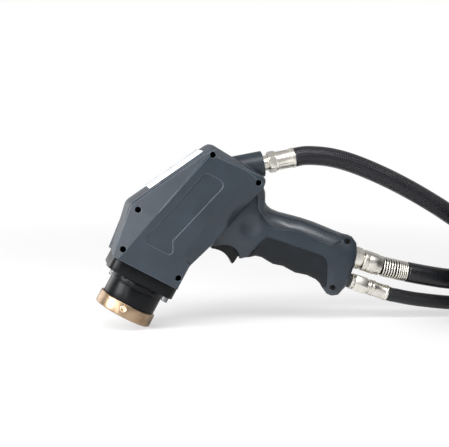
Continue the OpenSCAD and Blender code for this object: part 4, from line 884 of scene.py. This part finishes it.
# %% Bushes
SPANNER_ANGLE, SPANNER_UP = math.radians(-9.5), RING_H * 0.6
BUSH_ROWS = [(-2.6, 3.5), (0.1, 3.5), (0.45, 3.1), (0.35, 2.3), (-1.9, 1.9)]
for number in (0, 1):
    angle = SPANNER_ANGLE + number * math.pi
    radial = Vector((math.sin(angle), -math.cos(angle), 0))
    radial.rotate(Matrix.Rotation(LEAN, 3, "Y"))
    seat = in_mm(posed_point(0, SPANNER_UP)) + radial * RING_R
    outwards = radial.to_track_quat("Z", "Y").to_matrix().to_4x4()
    bush = turned("spanner_bush_%d" % (number + 1), BUSH_ROWS, 40, seat, outwards, edge=0.12)
    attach(bush, "gun")
    paint(bush, polished.material)
    print(bush.name, len(bush.data.polygons), "faces")

# %% [markdown]
# ## The bare strip in the band
# The photograph shows a printed strip let into the band over the front slope. Its place stays bare: a thin pale
# acrylic plate with rounded corners, cut from sheet and glued into its recess.

# %% Bare strip
SLOPE_LOW = Vector((-HEAD_FRONT, FOOT_W + HEAD_H * 0.365))
SLOPE_HIGH = Vector((-HEAD_REAR * 0.03, FOOT_W + HEAD_H))
BAND_HALF = HEAD_HALF * 0.74
LONG_SHARE, WIDE_SHARE, MIDDLE_SHARE = 0.64, 0.83, 0.57
STRIP_THICK, STRIP_LIFT = 2.0, 0.55
slope = SLOPE_HIGH - SLOPE_LOW
along = slope.normalized()
outward = Vector((-along.y, along.x))
STRIP_LONG, STRIP_WIDE = slope.length * LONG_SHARE, 2 * BAND_HALF * WIDE_SHARE
middle = SLOPE_LOW + slope * MIDDLE_SHARE + outward * (STRIP_LIFT + STRIP_THICK / 2)
bpy.ops.object.select_all(action="DESELECT")
bpy.ops.mesh.primitive_cube_add(size=1, location=posed_point(middle.x, middle.y),
                                rotation=(0, LEAN - math.atan2(along.y, along.x), 0),
                                scale=(STRIP_LONG * MM, STRIP_WIDE * MM, STRIP_THICK * MM))
strip = bpy.context.view_layer.objects.active
strip.name = "bare_strip"
bpy.ops.object.transform_apply(location=True, rotation=True, scale=True)
bevelled(strip, 0.7, 40, 3)
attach(strip, "gun")
acrylic = Recipe("pale_acrylic", shade(214, 217, 222), 0.18)
film = acrylic.noise(60, 4)
acrylic.finish(acrylic.mixed(acrylic.spread(film, 0.35, 0.7), shade(214, 217, 221), shade(224, 227, 231)),
               acrylic.spread(film, 0.3, 0.7, 0.12, 0.26), acrylic.bump(film, 0.01, 0.5))
paint(strip, acrylic.material)
print("bare strip:", round(STRIP_LONG), "x", round(STRIP_WIDE), "x", STRIP_THICK, "mm")

# %% [markdown]
# ## Strain relief of the cable hose
# Between the crimped sleeve and the ribbed hose a bare conduit shows through a wound spring: wide turns by the
# sleeve, close turns by the hose. Both are swept along the same line as the hose.

# %% Bare conduit
CORE_R, CORE_DEEP, CORE_STEP, CORE_INTO_HOSE = CABLE_R * 0.8, 0.4, 0.8, 0.3
sleeve_line = evenly([q for q, d in zip(cable_dense, cable_s) if d <= CABLE_SLEEVE + CORE_INTO_HOSE], CORE_STEP)
conduit = swept("cable_core_shape", sleeve_line, lambda k, d: CORE_R - (CORE_DEEP if k % 2 else 0), 28)
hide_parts("cable_core")
# Painted shade: the conduit is painted near black, its own dark finish together with the shade inside the spring.
paint(conduit, black_oxide.material)

# %% Relief spring
WIDE_TURNS, GAP_TURNS, CLOSE_TURNS = 5, 1, 5
WIDE_UNTIL, CLOSE_FROM = 0.5, 0.62
TURN_SIDES = 26
WIRE_POINTS = TURN_SIDES * (WIDE_TURNS + GAP_TURNS + CLOSE_TURNS)
WIRE_START, WIRE_RUN = 0.04, 0.925
WIRE_PATH_SHARE, WIRE_R = 0.9, CABLE_R * 0.085
SIDEWAYS = Vector((0, 1, 0))


def relief_turn(t):
    """How many turns the wire has made at share t of the relief: wide turns, one over a gap, then close turns."""
    if t < WIDE_UNTIL:
        return WIDE_TURNS * t / WIDE_UNTIL
    if t < CLOSE_FROM:
        return WIDE_TURNS + GAP_TURNS * (t - WIDE_UNTIL) / (CLOSE_FROM - WIDE_UNTIL)
    return WIDE_TURNS + GAP_TURNS + CLOSE_TURNS * (t - CLOSE_FROM) / (1 - CLOSE_FROM)


sleeve_xyz = np.array([tuple(q) for q in cable_dense])


def on_sleeve(d):
    return Vector([float(np.interp(d, cable_s, sleeve_xyz[:, i])) for i in range(3)])


wire = []
for k in range(WIRE_POINTS + 1):
    t = k / WIRE_POINTS
    d = CABLE_SLEEVE * (WIRE_START + WIRE_RUN * t)
    at, onward = on_sleeve(d), on_sleeve(d + 1)
    ahead = (onward - at).normalized()
    across = ahead.cross(SIDEWAYS).normalized()
    a = 2 * math.pi * relief_turn(t)
    wire.append(at + (SIDEWAYS * math.cos(a) + across * math.sin(a)) * CABLE_R * WIRE_PATH_SHARE)
spring_data = bpy.data.curves.new("cable_spring_line", "CURVE")
spring_data.dimensions = "3D"
strand = spring_data.splines.new("POLY")
strand.points.add(len(wire) - 1)
for point, q in zip(strand.points, wire):
    point.co = (*(q * MM), 1)
spring_data.bevel_depth = WIRE_R * MM
spring_data.bevel_resolution = 3
spring_data.use_fill_caps = True
spring = bpy.data.objects.new("cable_spring_shape", spring_data)
bpy.context.scene.collection.objects.link(spring)
only(spring)
bpy.ops.object.convert(target="MESH")
spring = bpy.context.view_layer.objects.active
spring.data.shade_smooth()
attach(spring, "gun")
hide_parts("cable_spring")
paint(spring, nickel.material)
print("relief spring:", len(spring.data.polygons), "faces")

# %% [markdown]
# ## Straps round the coils
# Hook-and-loop straps: a woven band with a soft pile. The CAD loop is copied, its edges are rounded and the weave
# comes from two crossed waves.

# %% Coil straps
THREADS = 500
fabric = Recipe("hook_and_loop", shade(30, 30, 32), 0.9)
warp = fabric.node("TexWave", wave_type="BANDS", bands_direction="Z")
weft = fabric.node("TexWave", wave_type="BANDS", bands_direction="X")
for thread in (warp, weft):
    thread.inputs["Scale"].default_value = THREADS
    fabric.feed(thread.inputs["Vector"], fabric.place)
pile = fabric.noise(3000, 3)
weave = fabric.math("ADD", fabric.math("MULTIPLY", warp.outputs["Fac"], weft.outputs["Fac"]), pile)
fabric.shader.inputs["Sheen Weight"].default_value = 0.4
fabric.finish(fabric.mixed(fabric.spread(weave, 0.3, 1.3), shade(20, 20, 22), shade(46, 46, 49)),
              fabric.spread(pile, 0.3, 0.7, 0.82, 0.96), fabric.bump(weave, 0.15, 0.6))
ties = refined("coil_ties", 0.3)
paint(ties, fabric.material)
print("coil straps:", len(ties.data.polygons), "faces")

# %% [markdown]
# ## Floor, backdrop and light
# A plain pale floor and a white world. The housing's front bevels are its brightest facets in the photograph, so
# a tall soft light stands where these facets mirror it to the camera. The key light stands close at the left, the
# top light is a long strip that draws the bright lines along the handle and the hoses, and the rear light opens
# the shadows. Only the camera sees the floor fade to plain white.

# %% Floor
FADE_FROM, FADE_TO, NEAR_GLOW = 0.35, 1.1, 0.52
bpy.ops.object.select_all(action="DESELECT")
bpy.ops.mesh.primitive_plane_add(size=12, location=(0, 0, -0.0001))
floor = bpy.context.view_layer.objects.active
floor.name = "floor"
pale = Recipe("pale_floor", shade(238, 238, 238), 0.7)
wash = pale.noise(2, 3)
pale.finish(pale.mixed(wash, shade(237, 237, 237), shade(240, 240, 240)))
path = pale.node("LightPath")
glow = pale.node("Emission")
glow.inputs["Color"].default_value = (1, 1, 1, 1)
blend = pale.node("MixShader")
out = pale.tree.nodes["Material Output"]
reach = pale.node("VectorMath", operation="LENGTH")
pale.feed(reach.inputs[0], pale.place)
fade = pale.spread(reach.outputs["Value"], FADE_FROM, FADE_TO, NEAR_GLOW, 1.0)
share = pale.math("MULTIPLY", path.outputs["Is Camera Ray"], fade)
pale.feed(blend.inputs[0], share)
pale.feed(blend.inputs[1], pale.shader.outputs[0])
pale.feed(blend.inputs[2], glow.outputs[0])
pale.feed(out.inputs["Surface"], blend.outputs[0])
paint(floor, pale.material)
print("floor fades to white from", FADE_FROM, "to", FADE_TO, "m")

# %% World
DIM, FULL, GLOSS_SHARE = 0.35, 1.0, 0.3
world = bpy.data.worlds.new("studio")
bpy.context.scene.world = world
world.use_nodes = True
nodes, links = world.node_tree.nodes, world.node_tree.links
back = nodes["Background"]
back.inputs["Color"].default_value = (1, 1, 1, 1)
ray = nodes.new("ShaderNodeLightPath")


def world_math(operation, first, second):
    """One Math node of the world, from a socket and a socket or number."""
    made = nodes.new("ShaderNodeMath")
    made.operation = operation
    links.new(first, made.inputs[0])
    if isinstance(second, bpy.types.NodeSocket):
        links.new(second, made.inputs[1])
    else:
        made.inputs[1].default_value = second
    return made.outputs[0]


seen = world_math("MAXIMUM", ray.outputs["Is Camera Ray"], ray.outputs["Is Transmission Ray"])
gloss = world_math("MULTIPLY", ray.outputs["Is Glossy Ray"], GLOSS_SHARE)
level = nodes.new("ShaderNodeMapRange")
level.inputs["To Min"].default_value = DIM
level.inputs["To Max"].default_value = FULL
links.new(world_math("MAXIMUM", seen, gloss), level.inputs["Value"])
links.new(level.outputs[0], back.inputs["Strength"])
print("world: full to the camera,", GLOSS_SHARE, "of the way in reflections")

# %% Lamps


def lamp(name, place, aim, size, power):
    """A rectangular lamp at place that looks at aim, power in watts."""
    data = bpy.data.lights.new(name, "AREA")
    data.shape = "RECTANGLE"
    data.size, data.size_y = size
    data.energy = power
    made = bpy.data.objects.new(name, data)
    bpy.context.scene.collection.objects.link(made)
    made.location = place
    made.rotation_euler = (Vector(aim) - Vector(place)).to_track_quat("-Z", "Y").to_euler()
    print(name, "lamp:", power, "W")


lamp("front", (-0.95, -1.35, 0.42), (-0.09, 0, 0.12), (0.4, 1.1), 8)
lamp("key", (-0.8, -0.36, 0.4), (-0.09, 0, 0.1), (0.4, 0.5), 8.5)
lamp("top", (-0.05, -0.8, 1.2), (0.05, 0, 0.12), (1.9, 0.4), 17)
lamp("rear", (-1.1, 1.0, 0.6), (-0.06, 0, 0.12), (1.0, 1.0), 8)
